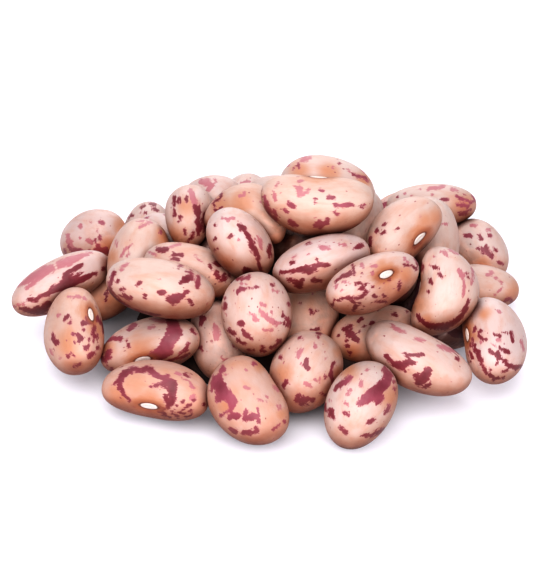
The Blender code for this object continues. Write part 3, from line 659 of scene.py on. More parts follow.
        (1, (469, 337, 0.9), (468, 344, 0.9)), (1, (466, 350, 0.9), (469, 356, 1)),
        (1, (472, 343, 0.9), (471, 350, 0.9)), (1, (472, 325, 0.9), (471, 330, 0.9)), (1, (467, 360, 0.9)),
    ),
    "left_tucked": (
        (1, (106, 293, 1), (104, 298, 1.3), (104, 305, 0.9)),
    ),
    "shaded": (
        (1, (314, 309, 1.4), (316, 313, 1.4), (320, 310, 0.9)), (1, (303, 303, 0.9)),
        (1, (316, 330, 1.8), (322, 328, 1.8)),
    ),
    "back_middle": (
        (0, (272, 186, 0.9), (275, 184, 0.9)), (0, (266, 190, 0.9)),
    ),
}

# Warm tan patches seen on the front beans: a place in picture dots, and how far the patch reaches
TANS = {
    "left_upright": ((65, 340, 14), (97, 325, 12)),
    "back_left_round": ((124, 225, 7), (114, 246, 9)),
    "left_pale": ((166, 238, 9), (113, 256, 7)),
    "left_banded": ((190, 206, 9), (178, 235, 9)),
    "orange_arch": ((218, 205, 12), (236, 204, 12)),
    "banded_oval": ((225, 262, 10),),
    "summit_rear": ((365, 183, 7), (300, 175, 9), (330, 176, 9)),
    "front_eyed": ((115, 395, 14), (135, 384, 14), (150, 399, 13)),
    "left_swirled": ((140, 345, 12), (108, 345, 8)),
    "front_left": ((262, 367, 9), (226, 408, 9), (283, 415, 7)),
    "front_middle": ((281, 374, 10), (340, 352, 8), (337, 372, 6)),
    "front_right": ((347, 369, 9), (390, 396, 10)),
    "right_big": ((419, 290, 10), (420, 308, 10), (428, 321, 6)),
    "right_eyed": ((425, 224, 9), (434, 221, 9), (411, 241, 7)),
    "right_upright": ((481, 312, 5), (470, 335, 6)),
    "back_right_long": ((463, 210, 11),),
    "right_back": ((480, 264, 8),),
    "right_low": ((514, 290, 9),),
    "middle_eyed": ((390, 285, 13), (403, 272, 10), (380, 262, 5)),
    "left_tucked": ((105, 300, 14),),
    "low_speckled": ((352, 348, 8),),
}

# The picture that the marks are placed in, in picture dots
PICTURE_MIDDLE = np.array([269.0, 289.0])
DOTS_PER_MM = 7.1

# The beans' fine skins, in millimetres
FINE_SEEN = (110, 76)       # vertices round and rings along a bean on the front of the heap
FINE_LAID = (66, 46)
SKIN_GROWTH = 0.1           # added to half the length, width and depth of the settled bean
LUMPS = 7
LUMP_HEIGHT = 0.07
LUMP_WAVES = 2.2            # more makes the lumps smaller
TAPER = 0.05                # how much thicker or thinner than its middle a bean's end may be
NOISE_SPREAD = 400          # each bean's place in the noise is at most this far out, along each axis
FLOOR_GAP = 0.02            # no skin comes nearer to the floor

# The scar in the middle of the seam, in millimetres
SCAR_HALF_LENGTH = 1.22
SCAR_HALF_WIDTH = 0.47
SCAR_HEIGHT = 0.12
SCAR_EDGE = 1.2             # its mesh reaches this far out, as a share of its half-lengths
SCAR_DIP = 0.15             # how far its edge goes under the skin
SCAR_GROOVE = 0.06          # depth of the groove along its middle
SCAR_GROOVE_WIDTH = 0.13
SCAR_RINGS = 6
SCAR_SEGMENTS = 28

# Random marks: how many, half their length and half their width, in millimetres, for each kind
Scatter = namedtuple("Scatter", "dark faint length width")

SCATTERS = {
    "blotched": Scatter((24, 30), (12, 18), (0.1, 1.6), (0.3, 0.85)),
    "banded": Scatter((15, 20), (10, 15), (0.8, 4.5), (0.3, 0.75)),
    "speckled": Scatter((44, 60), (16, 24), (0.05, 0.8), (0.2, 0.48)),
    "streaked": Scatter((20, 27), (15, 22), (0.6, 3.0), (0.2, 0.45)),
    "pale": Scatter((14, 20), (12, 18), (0.1, 1.3), (0.2, 0.5)),
    "mottled": Scatter((22, 30), (18, 26), (0.2, 1.8), (0.26, 0.64)),
}

STROKE_POINTS = 5
STROKE_SPREAD = 0.85        # the strokes' middles lie within this share of half the bean's length
STROKE_END = 0.98           # their ends stay within this share
STROKE_SWING = 0.75         # how much they slant round the bean
STROKE_WANDER = 0.05
STROKE_TAPER = 0.55         # how much narrower their ends are than their middles
STROKE_UNEVENNESS = 0.25

# Where marks and patches end as the skin turns. The skin's facing is 1 towards the viewer and 0 edge on
NO_MARK = 3.0               # skin further than this from any mark, in millimetres, counts as this far
FADE = 6.0                  # added to a mark's distance where the skin faces squarely the other way
RANDOM_EDGE = 0.05          # random marks are whole where the skin faces away by more than this
SEEN_EDGE = 0.02            # seen marks are whole where the skin faces the viewer by more than this
TAN_SOFTNESS = 1.4          # at this many times its reach a patch is down to about a third
TAN_EDGE = 3.0              # how sharply the patches end where the skin turns away

# Painted shade and light laid on the skins, in millimetres
CREASE = 2.0                # how far from its neighbour a bean's skin starts to darken with painted shade
CREASE_CURVE = 1.4          # above 1 it starts gently
SKY_COUNT = 24              # directions in which the sky is looked for
SKY_WRAP = 0.1              # lets the skin see a little below its own horizon
SKY_TOUCH = 0.9             # below 1 a bean that a sight line only just grazes hides nothing
SKY_LEAST = 0.02            # keeps skin that faces no sky from a division by nothing
COVER_REACH = 24.0          # beans further off than this hide no sky

# The flat map, with a square cell for each bean
MAP_MARGIN = 0.003              # as a share of the map
MAP_SKIN = (0.97, 0.87)         # width and height of the skin's box, as shares of the cell
MAP_SCAR = (0.9, 0.4, 0.07)     # how high the scar's box starts, its width and its height

# The looks of the beans that aren't seen lie between these: pink, dots, warm and mauve
LOOK_LEAST = (0.2, 0.15, 0.0, 0.1)
LOOK_MOST = (0.9, 0.6, 0.5, 0.8)

# The fine mesh of the mound inside the heap
CORE_STEPS = 14
CORE_COLUMNS = 48

# The stage, in metres: the floor, the lamps and the camera
FLOOR_HALF = 1.5
GLOW_EDGE = (0.021, 0.0335)     # the floor's glow starts and is whole this far from the heap's middle
GLOW_STRENGTH = (0.02, 0.6)     # under the heap, where the dim glow is painted shade, and round it, where the glow is painted light
STUDIO_STRENGTH = 0.16
SENSOR_WIDTH = 36.0
LENS = 185.7                    # in millimetres, like the sensor's width
GAMMA = 0.76

Lamp = namedtuple("Lamp", "name place target size power colour")

LAMPS = (
    Lamp("key", (-0.07, -0.19, 0.46), (0, 0, 0), 0.56, 3.5, (1.0, 0.99, 0.98)),
    Lamp("fill", (0.06, -0.46, 0.24), (0, 0, 0.01), 0.45, 2.1, (1.0, 0.98, 0.96)),
    Lamp("back", (0.02, 0.50, 0.34), (0, 0, 0.01), 0.7, 3.1, (1.0, 0.98, 0.97)),
)


class Skin:
    """What makes one bean's fine skin differ from a plain one."""

    def __init__(self, bean, random):
        self.bean = bean
        self.halves = bean.halves + SKIN_GROWTH
        self.taper = random.uniform(-TAPER, TAPER, 2)
        self.waves = random.normal(0, LUMP_WAVES, (LUMPS, 3))
        self.phases = random.uniform(0, 2 * np.pi, LUMPS)
        self.offset = random.uniform(-NOISE_SPREAD, NOISE_SPREAD, 3)
        self.marks_seed = int(abs(self.offset[0]) * 1000)

    def points(self, directions):
        """Places of the skin in the bean's own axes, in millimetres."""
        flat = directions.reshape(-1, 3)
        places = surface(flat, self.halves, self.bean.bend)
        lumps = np.cos(flat @ self.waves.T + self.phases).sum(axis=1) * LUMP_HEIGHT / math.sqrt(LUMPS)
        places[:, 1:] *= 1 + flat[:, :1] * self.taper
        places += flat * lumps[:, None]
        return places.reshape(directions.shape)

    def scar_directions(self):
        """Directions to a small oval grid in the middle of the seam, and how far out each is."""
        rings = SCAR_EDGE * np.arange(SCAR_RINGS + 1) / SCAR_RINGS
        turns = 2 * np.pi * np.arange(SCAR_SEGMENTS) / SCAR_SEGMENTS
        out, turn = np.meshgrid(rings, turns, indexing="ij")
        along = SCAR_HALF_LENGTH * out * np.cos(turn) / self.halves[0]
        girth = np.sqrt(1 - along ** 2)
        sideways = SCAR_HALF_WIDTH * out * np.sin(turn) / self.halves[2] / girth ** BLUNTNESS
        directions = np.stack([along, girth * np.sqrt(1 - sideways ** 2), girth * sideways], axis=-1)
        return directions, out


def grid_faces(rows, columns):
    """Faces of a grid that closes on itself round each row, as vertex numbers."""
    row, column = np.meshgrid(np.arange(rows - 1), np.arange(columns), indexing="ij")
    after = (column + 1) % columns
    corners = np.stack([row * columns + column, (row + 1) * columns + column,
                        (row + 1) * columns + after, row * columns + after], axis=-1)
    return corners.reshape(-1, 4)


def grid_places(rows, columns, box):
    """The faces' corners on the flat map, inside a box of the map."""
    left, low, wide, high = box
    row, column = np.meshgrid(np.arange(rows - 1), np.arange(columns), indexing="ij")
    across = np.stack([column, column, column + 1, column + 1], axis=-1) / columns
    along = np.stack([row, row + 1, row + 1, row], axis=-1) / (rows - 1)
    return np.stack([left + wide * across, low + high * along], axis=-1).reshape(-1, 4, 2)


def outward_normals(points):
    """Normals of a closed grid of points, from its neighbours' places."""
    along = np.gradient(points, axis=0)
    around = np.roll(points, -1, axis=1) - np.roll(points, 1, axis=1)
    normals = np.cross(along, around)
    normals[0] = normals[1].mean(axis=0)
    normals[-1] = normals[-2].mean(axis=0)
    return normals / (np.linalg.norm(normals, axis=2, keepdims=True) + 1e-12)


def path_gap(points, path, widths):
    """How far points lie from the edge of a stroke along a path, negative inside it."""
    if len(path) == 1:
        return np.linalg.norm(points - path[0], axis=1) - widths[0]
    gap = np.full(len(points), np.inf)
    for start, end, wide, wider in zip(path[:-1], path[1:], widths[:-1], widths[1:]):
        span = end - start
        share = np.clip((points - start) @ span / max(span @ span, 1e-9), 0, 1)
        near = start + share[:, None] * span
        gap = np.minimum(gap, np.linalg.norm(points - near, axis=1) - (wide + share * (wider - wide)))
    return gap


def random_strokes(skin, kind, random):
    """Strokes all over a bean, in its own axes: a depth, a path and its widths for each."""
    scatter = SCATTERS[kind]
    steps = np.linspace(-1, 1, STROKE_POINTS)
    strokes = []
    for depth, counts in ((1, scatter.dark), (0, scatter.faint)):
        for _ in range(random.integers(counts[0], counts[1] + 1)):
            middle = random.uniform(-STROKE_SPREAD, STROKE_SPREAD)
            angle = random.uniform(0, 2 * np.pi)
            half = random.uniform(*scatter.length) / skin.halves[0]
            width = random.uniform(*scatter.width)
            swing = random.normal(0, STROKE_SWING)
            along = np.clip(middle + half * steps, -STROKE_END, STROKE_END)
            turn = angle + swing * half * steps + random.normal(0, STROKE_WANDER, STROKE_POINTS)
            girth = np.sqrt(1 - along ** 2)
            directions = np.column_stack([along, girth * np.cos(turn), girth * np.sin(turn)])
            uneven = random.uniform(1 - STROKE_UNEVENNESS, 1 + STROKE_UNEVENNESS, STROKE_POINTS)
            widths = width * (1 - STROKE_TAPER * steps ** 2) * uneven
            strokes.append((depth, skin.points(directions), widths))
    return strokes


def picture_places(points):
    """Where points of the heap, in millimetres, are seen in the picture, in picture dots."""
    from_eye = points - SIGHT_EYE
    depth = -(from_eye @ SIGHT_BACK)
    across = from_eye @ SIGHT_RIGHT * SIGHT_DISTANCE / depth
    up = from_eye @ SIGHT_UP * SIGHT_DISTANCE / depth
    return PICTURE_MIDDLE + DOTS_PER_MM * np.column_stack([across, -up])


def drawn_places(bean, world):
    """Where skin points are seen, as if the bean had stayed at its first place when it settled."""
    row = next(row for row in SEEN if row.name == bean.name)
    first = PICTURE_MIDDLE + DOTS_PER_MM * np.array([row.across, -row.up])
    return picture_places(world) + (first - picture_places(bean.centre[None])[0])


def facing_viewer(world, outward):
    """1 where the skin faces the viewer, 0 where it is seen edge on, and negative behind."""
    sight = SIGHT_EYE - world
    return np.einsum("ij,ij->i", outward, sight / np.linalg.norm(sight, axis=1, keepdims=True))


def mark_gaps(skin, local, world, outward, look):
    """Distances of skin points from the nearest maroon mark and from the nearest faint one."""
    bean = skin.bean
    facing = facing_viewer(world, outward)
    gaps = np.full((2, len(local)), NO_MARK)
    seen = bean.ray is not None
    hidden_only = FADE * np.maximum(facing + RANDOM_EDGE, 0) if seen else 0.0
    for depth, path, widths in random_strokes(skin, look.kind, np.random.default_rng(skin.marks_seed)):
        gaps[depth] = np.minimum(gaps[depth], path_gap(local, path, widths) + hidden_only)
    if seen:
        places = drawn_places(bean, world)
        seen_only = FADE * np.maximum(SEEN_EDGE - facing, 0)
        for depth, *path in MARKS.get(bean.name, ()):
            stroke = np.array(path, float)
            gap = path_gap(places, stroke[:, :2], stroke[:, 2]) / DOTS_PER_MM
            gaps[depth] = np.minimum(gaps[depth], gap + seen_only)
    return gaps[1], gaps[0]


def tan_share(bean, world, outward, look):
    """How tan each skin point is: the bean's own warmth, and the patches seen on it."""
    share = np.full(len(world), look.warm)
    if bean.ray is None:
        return share
    places = drawn_places(bean, world)
    shown = np.clip(facing_viewer(world, outward) * TAN_EDGE + 0.5, 0, 1)
    for column, row, reach in TANS.get(bean.name, ()):
        near = np.exp(-((places - (column, row)) ** 2).sum(axis=1) / (TAN_SOFTNESS * reach) ** 2)
        share = np.maximum(share, near * shown)
    return share


def distance_to(points, bean):
    """About how far points outside a bean are from its skin, in millimetres."""
    local = (points - bean.centre) @ bean.axes
    along = np.clip(local[:, 0] / bean.halves[0], -1, 1)
    local[:, 1] -= bean.bend * (along ** 2 - BEND_BALANCE)
    out = np.linalg.norm(local / bean.halves, axis=1)
    return out * (out - 1) / (np.linalg.norm(local / bean.halves ** 2, axis=1) + 1e-9)


def neighbours(bean, beans, reach):
    """The other beans whose centres are within reach."""
    return [other for other in beans
            if other is not bean and np.linalg.norm(other.centre - bean.centre) < reach]


def crease_shade_share(bean, world, beans):
    """How deep in a crease each skin point lies, for the painted shade there: 1 where the bean touches
    another or the floor.
    """
    nearest = world[:, 2].copy()
    for other in neighbours(bean, beans, REACH + CREASE):
        nearest = np.minimum(nearest, distance_to(world, other))
    return np.clip(1 - nearest / CREASE, 0, 1) ** CREASE_CURVE


def sky_directions():
    """Directions spread evenly over the half of space above the floor."""
    numbers = np.arange(SKY_COUNT) + 0.5
    heights = numbers / SKY_COUNT
    turns = np.pi * (1 + math.sqrt(5)) * numbers
    level = np.sqrt(1 - heights ** 2)
    return np.column_stack([level * np.cos(turns), level * np.sin(turns), heights])


def covered_share(bean, world, outward, beans):
    """What share of the sky that each skin point faces is hidden by other beans.

    It is negative on the seen beans, because the material paints light on their covered parts, which makes
    them paler, and paints shade on the covered parts of the other beans, which makes them darker.
    """
    sky = sky_directions()
    weights = np.clip(outward @ sky.T + SKY_WRAP, 0, None)
    blocked = np.zeros(weights.shape, bool)
    for other in neighbours(bean, beans, COVER_REACH):
        start = (world - other.centre) @ other.axes / other.halves
        steps = sky @ other.axes / other.halves
        lengths = (steps ** 2).sum(axis=1)
        ahead = -(start @ steps.T) / lengths
        miss = (start ** 2).sum(axis=1)[:, None] - ahead ** 2 * lengths
        blocked |= (ahead > 0) & (miss < SKY_TOUCH)
    share = (weights * blocked).sum(axis=1) / (weights.sum(axis=1) + SKY_LEAST)
    return share if bean.ray is None else -share


class Pile:
    """The beans of one kind, gathered into one mesh."""

    def __init__(self):
        self.vertices = []
        self.faces = []
        self.map = []
        self.fields = {"skin_place": [], "noise_place": [], "marks": [], "look": [], "shade": []}
        self.count = 0

    def add(self, world, faces, places, fields):
        """Add one grid's vertices, faces, map corners and fields."""
        self.vertices.append(world)
        self.faces.append(faces + self.count)
        self.map.append(places)
        for name, values in fields.items():
            self.fields[name].append(values)
        self.count += len(world)

    def piece(self, name, material):
        """Make the gathered mesh an object that stands for the heap."""
        mesh = bpy.data.meshes.new(name)
        vertices = np.concatenate(self.vertices) * METRES
        mesh.from_pydata(vertices.tolist(), [], np.concatenate(self.faces).tolist())
        layer = mesh.uv_layers.new(name="OFBake")
        layer.data.foreach_set("uv", np.concatenate(self.map).ravel())
        for field, values in self.fields.items():
            attribute = mesh.attributes.new(field, "FLOAT_VECTOR", "POINT")
            attribute.data.foreach_set("vector", np.concatenate(values).ravel())
        heap_piece(mesh, material)


def in_scene(name, data):
    """A new object in the scene."""
    thing = bpy.data.objects.new(name, data)
    bpy.context.scene.collection.objects.link(thing)
    return thing


def heap_piece(mesh, material):
    """Show a mesh as a smooth piece of the heap, named after the mesh."""
    mesh.shade_smooth()
    mesh.materials.append(material)
    thing = in_scene(mesh.name, mesh)
    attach(thing, "root")
    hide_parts("bean_heap")


def dress(pile, bean, look, cell, beans, random):
    """Add one bean to its pile: its skin and its scar."""
    skin = Skin(bean, random)
    segments, rings = FINE_SEEN if bean.ray is not None else FINE_LAID
    left, low, side = cell
    grid = skin.points(sphere_directions(segments, rings))
    box = (left, low, side * MAP_SKIN[0], side * MAP_SKIN[1])
    add_grid(pile, skin, grid, outward_normals(grid), box, look, beans)
    directions, out = skin.scar_directions()
    scar = skin.points(directions)
    scar[..., 1] += scar_height(out, scar[..., 2])
    normals = np.broadcast_to([0.0, 1.0, 0.0], scar.shape)
    box = (left, low + side * MAP_SCAR[0], side * MAP_SCAR[1], side * MAP_SCAR[2])
    add_grid(pile, skin, scar, normals, box, look, beans)


def scar_height(out, sideways):
    """How far the scar stands over the skin: a low rim, a shallow groove, and an edge that dips under."""
    swell = SCAR_HEIGHT * (1 - out ** 4)
    groove = SCAR_GROOVE * np.exp(-(sideways / SCAR_GROOVE_WIDTH) ** 2) * np.clip(SCAR_EDGE - out, 0, 1)
    return np.maximum(swell, -SCAR_DIP) - groove


def add_grid(pile, skin, grid, normals, box, look, beans):
    """Add one grid of a bean to its pile, with the fields that the material reads."""
    bean = skin.bean
    rows, columns = grid.shape[:2]
    local = grid.reshape(-1, 3)
    world = local @ bean.axes.T + bean.centre
    world[:, 2] = np.maximum(world[:, 2], FLOOR_GAP)
    outward = normals.reshape(-1, 3) @ bean.axes.T
    everywhere = np.ones(len(local))
    fields = {
        "skin_place": local,
        "noise_place": local + skin.offset,
        "marks": np.column_stack([*mark_gaps(skin, local, world, outward, look), everywhere * look.mauve]),
        "look": np.column_stack([everywhere * look.pink, everywhere * look.dots,
                                 tan_share(bean, world, outward, look)]),
        "shade": np.column_stack([crease_shade_share(bean, world, beans), -outward[:, 2],
                                  covered_share(bean, world, outward, beans)]),
    }
    pile.add(world, grid_faces(rows, columns), grid_places(rows, columns, box), fields)


class Graph:
    """A material's node tree, with short calls for the nodes used here."""

    def __init__(self, name):
        self.material = bpy.data.materials.new(name)
        self.material.use_nodes = True
        self.tree = self.material.node_tree
        self.shader = self.tree.nodes["Principled BSDF"]

    def feed(self, socket, value):
        """Link another node's output to a socket, or set the socket to a plain value."""
        if isinstance(value, bpy.types.NodeSocket):
            self.tree.links.new(value, socket)
        else:
            socket.default_value = value

    def sum(self, operation, first, second=0.0, third=0.0):
        node = self.tree.nodes.new("ShaderNodeMath")
        node.operation = operation
        for socket, value in zip(node.inputs, (first, second, third)):
            self.feed(socket, value)
        return node.outputs[0]

    def vector(self, operation, first, second=(0.0, 0.0, 0.0)):
        node = self.tree.nodes.new("ShaderNodeVectorMath")
        node.operation = operation
        self.feed(node.inputs[0], first)
        self.feed(node.inputs[1], second)
        return node.outputs["Value" if operation == "LENGTH" else "Vector"]

    def field(self, name):
        node = self.tree.nodes.new("ShaderNodeAttribute")
        node.attribute_name = name
        return node.outputs["Vector"]

    def split(self, vector):
        node = self.tree.nodes.new("ShaderNodeSeparateXYZ")
        self.feed(node.inputs[0], vector)
        return node.outputs

    def noise(self, place, scale, detail=2.0, roughness=0.5):
        """Smooth noise about 0, from -1 to 1, over a length of 1 / scale of the place's units."""
        node = self.tree.nodes.new("ShaderNodeTexNoise")
        self.feed(node.inputs["Vector"], place)
        self.feed(node.inputs["Scale"], scale)
        self.feed(node.inputs["Detail"], detail)
        self.feed(node.inputs["Roughness"], roughness)
        return self.sum("MULTIPLY_ADD", node.outputs["Fac"], 2.0, -1.0)

    def ramp(self, value, low, high, first=0.0, last=1.0):
        """A soft step from first to last as the value goes from low to high."""
        node = self.tree.nodes.new("ShaderNodeMapRange")
        node.interpolation_type = "SMOOTHSTEP"
        for name, given in zip(("Value", "From Min", "From Max", "To Min", "To Max"),
                               (value, low, high, first, last)):
            self.feed(node.inputs[name], given)
        return node.outputs["Result"]

    def mix(self, share, first, second):
        node = self.tree.nodes.new("ShaderNodeMix")
        node.data_type = "RGBA"
        self.feed(node.inputs["Factor"], share)
        self.feed(node.inputs["A"], first)
        self.feed(node.inputs["B"], second)
        return node.outputs["Result"]

    def tint(self, share, skin, colour):
        """The skin's colour, multiplied by another where the share is 1."""
        return self.mix(share, skin, self.vector("MULTIPLY", skin, colour))

    def dots(self, place, scale):
        """Distance from the nearest of many scattered points, and three random numbers for it."""
        node = self.tree.nodes.new("ShaderNodeTexVoronoi")
        self.feed(node.inputs["Vector"], place)
        self.feed(node.inputs["Scale"], scale)
        return node.outputs["Distance"], self.split(node.outputs["Color"])


# Colours of the skins
CREAM = (0.60, 0.475, 0.415, 1.0)
PINK = (0.60, 0.465, 0.45, 1.0)
BLUSH = (0.57, 0.30, 0.215, 1.0)
TAN = (0.51, 0.215, 0.105, 1.0)
VEIN = (0.50, 0.24, 0.19, 1.0)
FAINT = (0.45, 0.155, 0.185, 1.0)
MAROON = (0.21, 0.026, 0.042, 1.0)
BLACK_MAROON = (0.13, 0.013, 0.022, 1.0)
MAUVE = (0.36, 0.088, 0.13, 1.0)
SCAR_WHITE = (0.64, 0.59, 0.57, 1.0)
SCAR_BROWN = (0.30, 0.09, 0.04, 1.0)
SCAR_RING = (0.12, 0.03, 0.018, 1.0)

# What the skins' colours are multiplied by, all painted light and shade: a painted sheen facing up, painted
# shade sideways and down, in creases and on the covered parts of the beans that aren't seen, and painted
# light on those of the seen beans
TOP_SHEEN_TINT = (0.865, 0.892, 0.92)
SIDE_SHADE_TINT = (0.78, 0.57, 0.445)
UNDER_SHADE_TINT = (0.46, 0.28, 0.22)
CREASE_SHADE_TINT = (0.24, 0.08, 0.055)
BURIED_SHADE_TINT = (0.22, 0.10, 0.08)
COVERED_LIGHT_LIFT = (1.5, 1.4, 1.32)

# Colours of the mound, which are painted shade, and of the stage, whose floor glow is painted light
MOUND_SHADE_DARK = (0.02, 0.007, 0.006, 1.0)
MOUND_SHADE_BROWN = (0.05, 0.02, 0.013, 1.0)
FLOOR_GREY = (0.43, 0.43, 0.46, 1.0)
FLOOR_GLOW = (0.96, 0.925, 1.0, 1.0)
STUDIO_LIGHT = (0.96, 0.93, 1.0, 1.0)

# The fine dots: how many to a millimetre, and the radius of the largest as a share of their spacing
DOT_SIZES = ((0.7, 0.16), (1.5, 0.2))


class Noises:
    """The noises that several layers of a skin share, and the place stretched along the bean."""

    def __init__(self, graph, place):
        self.stretched = graph.vector("MULTIPLY", place, (0.34, 1.0, 1.0))
        self.broad = graph.noise(place, 0.28, 2.0)
        self.ragged = graph.noise(self.stretched, 1.8, 4.0, 0.6)
        self.fine = graph.noise(self.stretched, 5.0, 3.0, 0.6)
        self.grain = graph.noise(place, 9.0, 2.0, 0.6)


def plain_skin(graph, noises, pink):
    """Cream to pink, with a broken blush along the bean."""
    skin = graph.mix(pink, CREAM, PINK)
    skin = graph.mix(graph.ramp(noises.broad, -0.3, 0.5, 0.0, 0.4), skin, PINK)
    blush = graph.noise(noises.stretched, 0.8, 3.0)
    return graph.mix(graph.ramp(blush, -0.2, 0.6, 0.0, 0.5), skin, BLUSH)


def warmed(graph, skin, place, local, noises, warm, away):
    """Tan patches, a tan halo round the scar, and fine veins."""
    halo_out = graph.vector("LENGTH", graph.vector("MULTIPLY", local, (0.42, 0.0, 0.62)))
    halo_edge = graph.sum("MULTIPLY_ADD", noises.ragged, 0.5, graph.sum("ADD", halo_out, away))
    halo = graph.ramp(halo_edge, 0.5, 1.9, 0.9, 0.0)
    warm_edge = graph.sum("MULTIPLY_ADD", noises.broad, 0.35, warm)
    tan = graph.sum("MAXIMUM", graph.ramp(warm_edge, -0.1, 1.2, 0.0, 0.85), halo)
    skin = graph.mix(tan, skin, TAN)
    veins = graph.noise(graph.vector("MULTIPLY", place, (0.16, 1.0, 1.0)), 3.2, 3.0, 0.6)
    return graph.mix(graph.ramp(veins, 0.1, 0.6, 0.0, 0.3), skin, VEIN)


def marked(graph, skin, noises, dark_gap, faint_gap, mauve):
    """Faint marks, then maroon ones with a softer rim and a darker middle."""
    fine_wobble = graph.sum("MULTIPLY_ADD", noises.fine, 0.3, -0.06)
    wobble = graph.sum("MULTIPLY_ADD", noises.ragged, 0.55, fine_wobble)
    faint_edge = graph.sum("ADD", faint_gap, wobble)
    skin = graph.mix(graph.ramp(faint_edge, -0.12, 0.09, 0.9, 0.0), skin, FAINT)
    dark_edge = graph.sum("ADD", dark_gap, wobble)
    skin = graph.mix(graph.ramp(dark_edge, -0.02, 0.16, 0.6, 0.0), skin, FAINT)
    depth = graph.sum("MULTIPLY_ADD", noises.grain, 0.25, dark_edge)
    deep = graph.mix(graph.ramp(depth, -0.7, 0.0, 0.7, 0.0), MAROON, BLACK_MAROON)
    paleness = graph.sum("MULTIPLY_ADD", noises.broad, 0.5, mauve)
    deep = graph.mix(graph.ramp(paleness, 0.1, 0.9), deep, MAUVE)
    return graph.mix(graph.ramp(dark_edge, -0.07, 0.04, 0.97, 0.0), skin, deep)


def dotted(graph, skin, place, noises, dots):
    """Fine maroon dots, each of its own size, on the share of the places that the bean's look says."""
    for scale, radius in DOT_SIZES:
        warped = graph.vector("ADD", graph.vector("MULTIPLY", place, (0.6, 1.0, 1.0)), (scale, 0.0, 0.0))
        near, chance = graph.dots(warped, scale)
        kept = graph.ramp(graph.sum("SUBTRACT", graph.sum("MULTIPLY", dots, 0.7), chance[0]), 0.0, 0.05)
        size = graph.sum("MULTIPLY_ADD", chance[1], radius * 0.7, radius * 0.3)
        gap = graph.sum("MULTIPLY_ADD", noises.fine, 0.28, graph.sum("SUBTRACT", near, size))
        dot = graph.sum("MULTIPLY", graph.ramp(gap, -0.05, 0.03, 0.85, 0.0), kept)
        skin = graph.mix(dot, skin, graph.mix(chance[2], MAROON, FAINT))
    return skin


def painted_slope_shading(graph, skin, noises, downward):
    """Painted sheen and shade: greyer where the skin faces up, browner where it faces sideways and down."""
    lowness = graph.sum("MULTIPLY_ADD", noises.broad, 0.3, downward)
    # painted sheen where the skin faces up, painted shade where it faces sideways and down
    skin = graph.tint(graph.ramp(lowness, -1.0, -0.2, 1.0, 0.0), skin, TOP_SHEEN_TINT)
    skin = graph.tint(graph.ramp(lowness, -0.6, 0.35), skin, SIDE_SHADE_TINT)
    return graph.tint(graph.ramp(lowness, -0.15, 0.75), skin, UNDER_SHADE_TINT)


def scarred(graph, skin, local, noises, away):
    """The skin with its white scar in a dark ring, and how much of each place is scar."""
    oval = (1 / SCAR_HALF_LENGTH, 0.0, 1 / SCAR_HALF_WIDTH)
    out = graph.sum("ADD", graph.vector("LENGTH", graph.vector("MULTIPLY", local, oval)), away)
    ring_edge = graph.sum("MULTIPLY_ADD", noises.fine, 0.3, out)
    skin = graph.mix(graph.ramp(ring_edge, 1.2, 2.6, 0.75, 0.0), skin, SCAR_BROWN)
    skin = graph.mix(graph.ramp(ring_edge, 1.02, 1.4, 0.95, 0.0), skin, SCAR_RING)
    white_edge = graph.sum("MULTIPLY_ADD", noises.fine, 0.08, out)
    white = graph.ramp(white_edge, 0.88, 1.05, 1.0, 0.0)
    pith = graph.mix(graph.ramp(noises.grain, -0.4, 0.7, 0.0, 0.35), SCAR_WHITE, TAN)
    return graph.mix(white, skin, pith), white


def painted_shade_and_light(graph, skin, noises, crease_shade, covered):
    """Painted shade, darker inside the heap and in the creases, and painted light, paler on the covered parts
    of the seen beans.
    """
    # painted shade on the covered parts of the beans that aren't seen, painted light on those of the seen
    # beans
    skin = graph.tint(graph.ramp(covered, 0.3, 0.9, 0.0, 0.95), skin, BURIED_SHADE_TINT)
    skin = graph.tint(graph.ramp(covered, -0.85, -0.25, 1.0, 0.0), skin, COVERED_LIGHT_LIFT)
    # painted shade in the creases, where a bean touches another or the floor
    crease_edge = graph.sum("MULTIPLY_ADD", noises.broad, 0.15, crease_shade)
    return graph.tint(graph.ramp(crease_edge, 0.05, 1.0, 0.0, 0.95), skin, CREASE_SHADE_TINT)


def add_sheen(graph, place, noises, scar):
    """A satin sheen, dull on the scar, over a slightly uneven skin."""
    roughness = graph.ramp(graph.noise(place, 1.2, 3.0), -0.6, 0.6, 0.4, 0.52)
    dull = graph.sum("MULTIPLY", scar, 0.75)
    graph.feed(graph.shader.inputs["Roughness"], graph.sum("MAXIMUM", roughness, dull))
    graph.shader.inputs["Specular IOR Level"].default_value = 0.42
    bump = graph.tree.nodes.new("ShaderNodeBump")
    bump.inputs["Strength"].default_value = 1.0
    bump.inputs["Distance"].default_value = 0.00005
    height = graph.sum("MULTIPLY_ADD", noises.fine, 0.25, graph.noise(place, 1.1, 3.0))
    graph.feed(bump.inputs["Height"], height)
    graph.feed(graph.shader.inputs["Normal"], bump.outputs["Normal"])


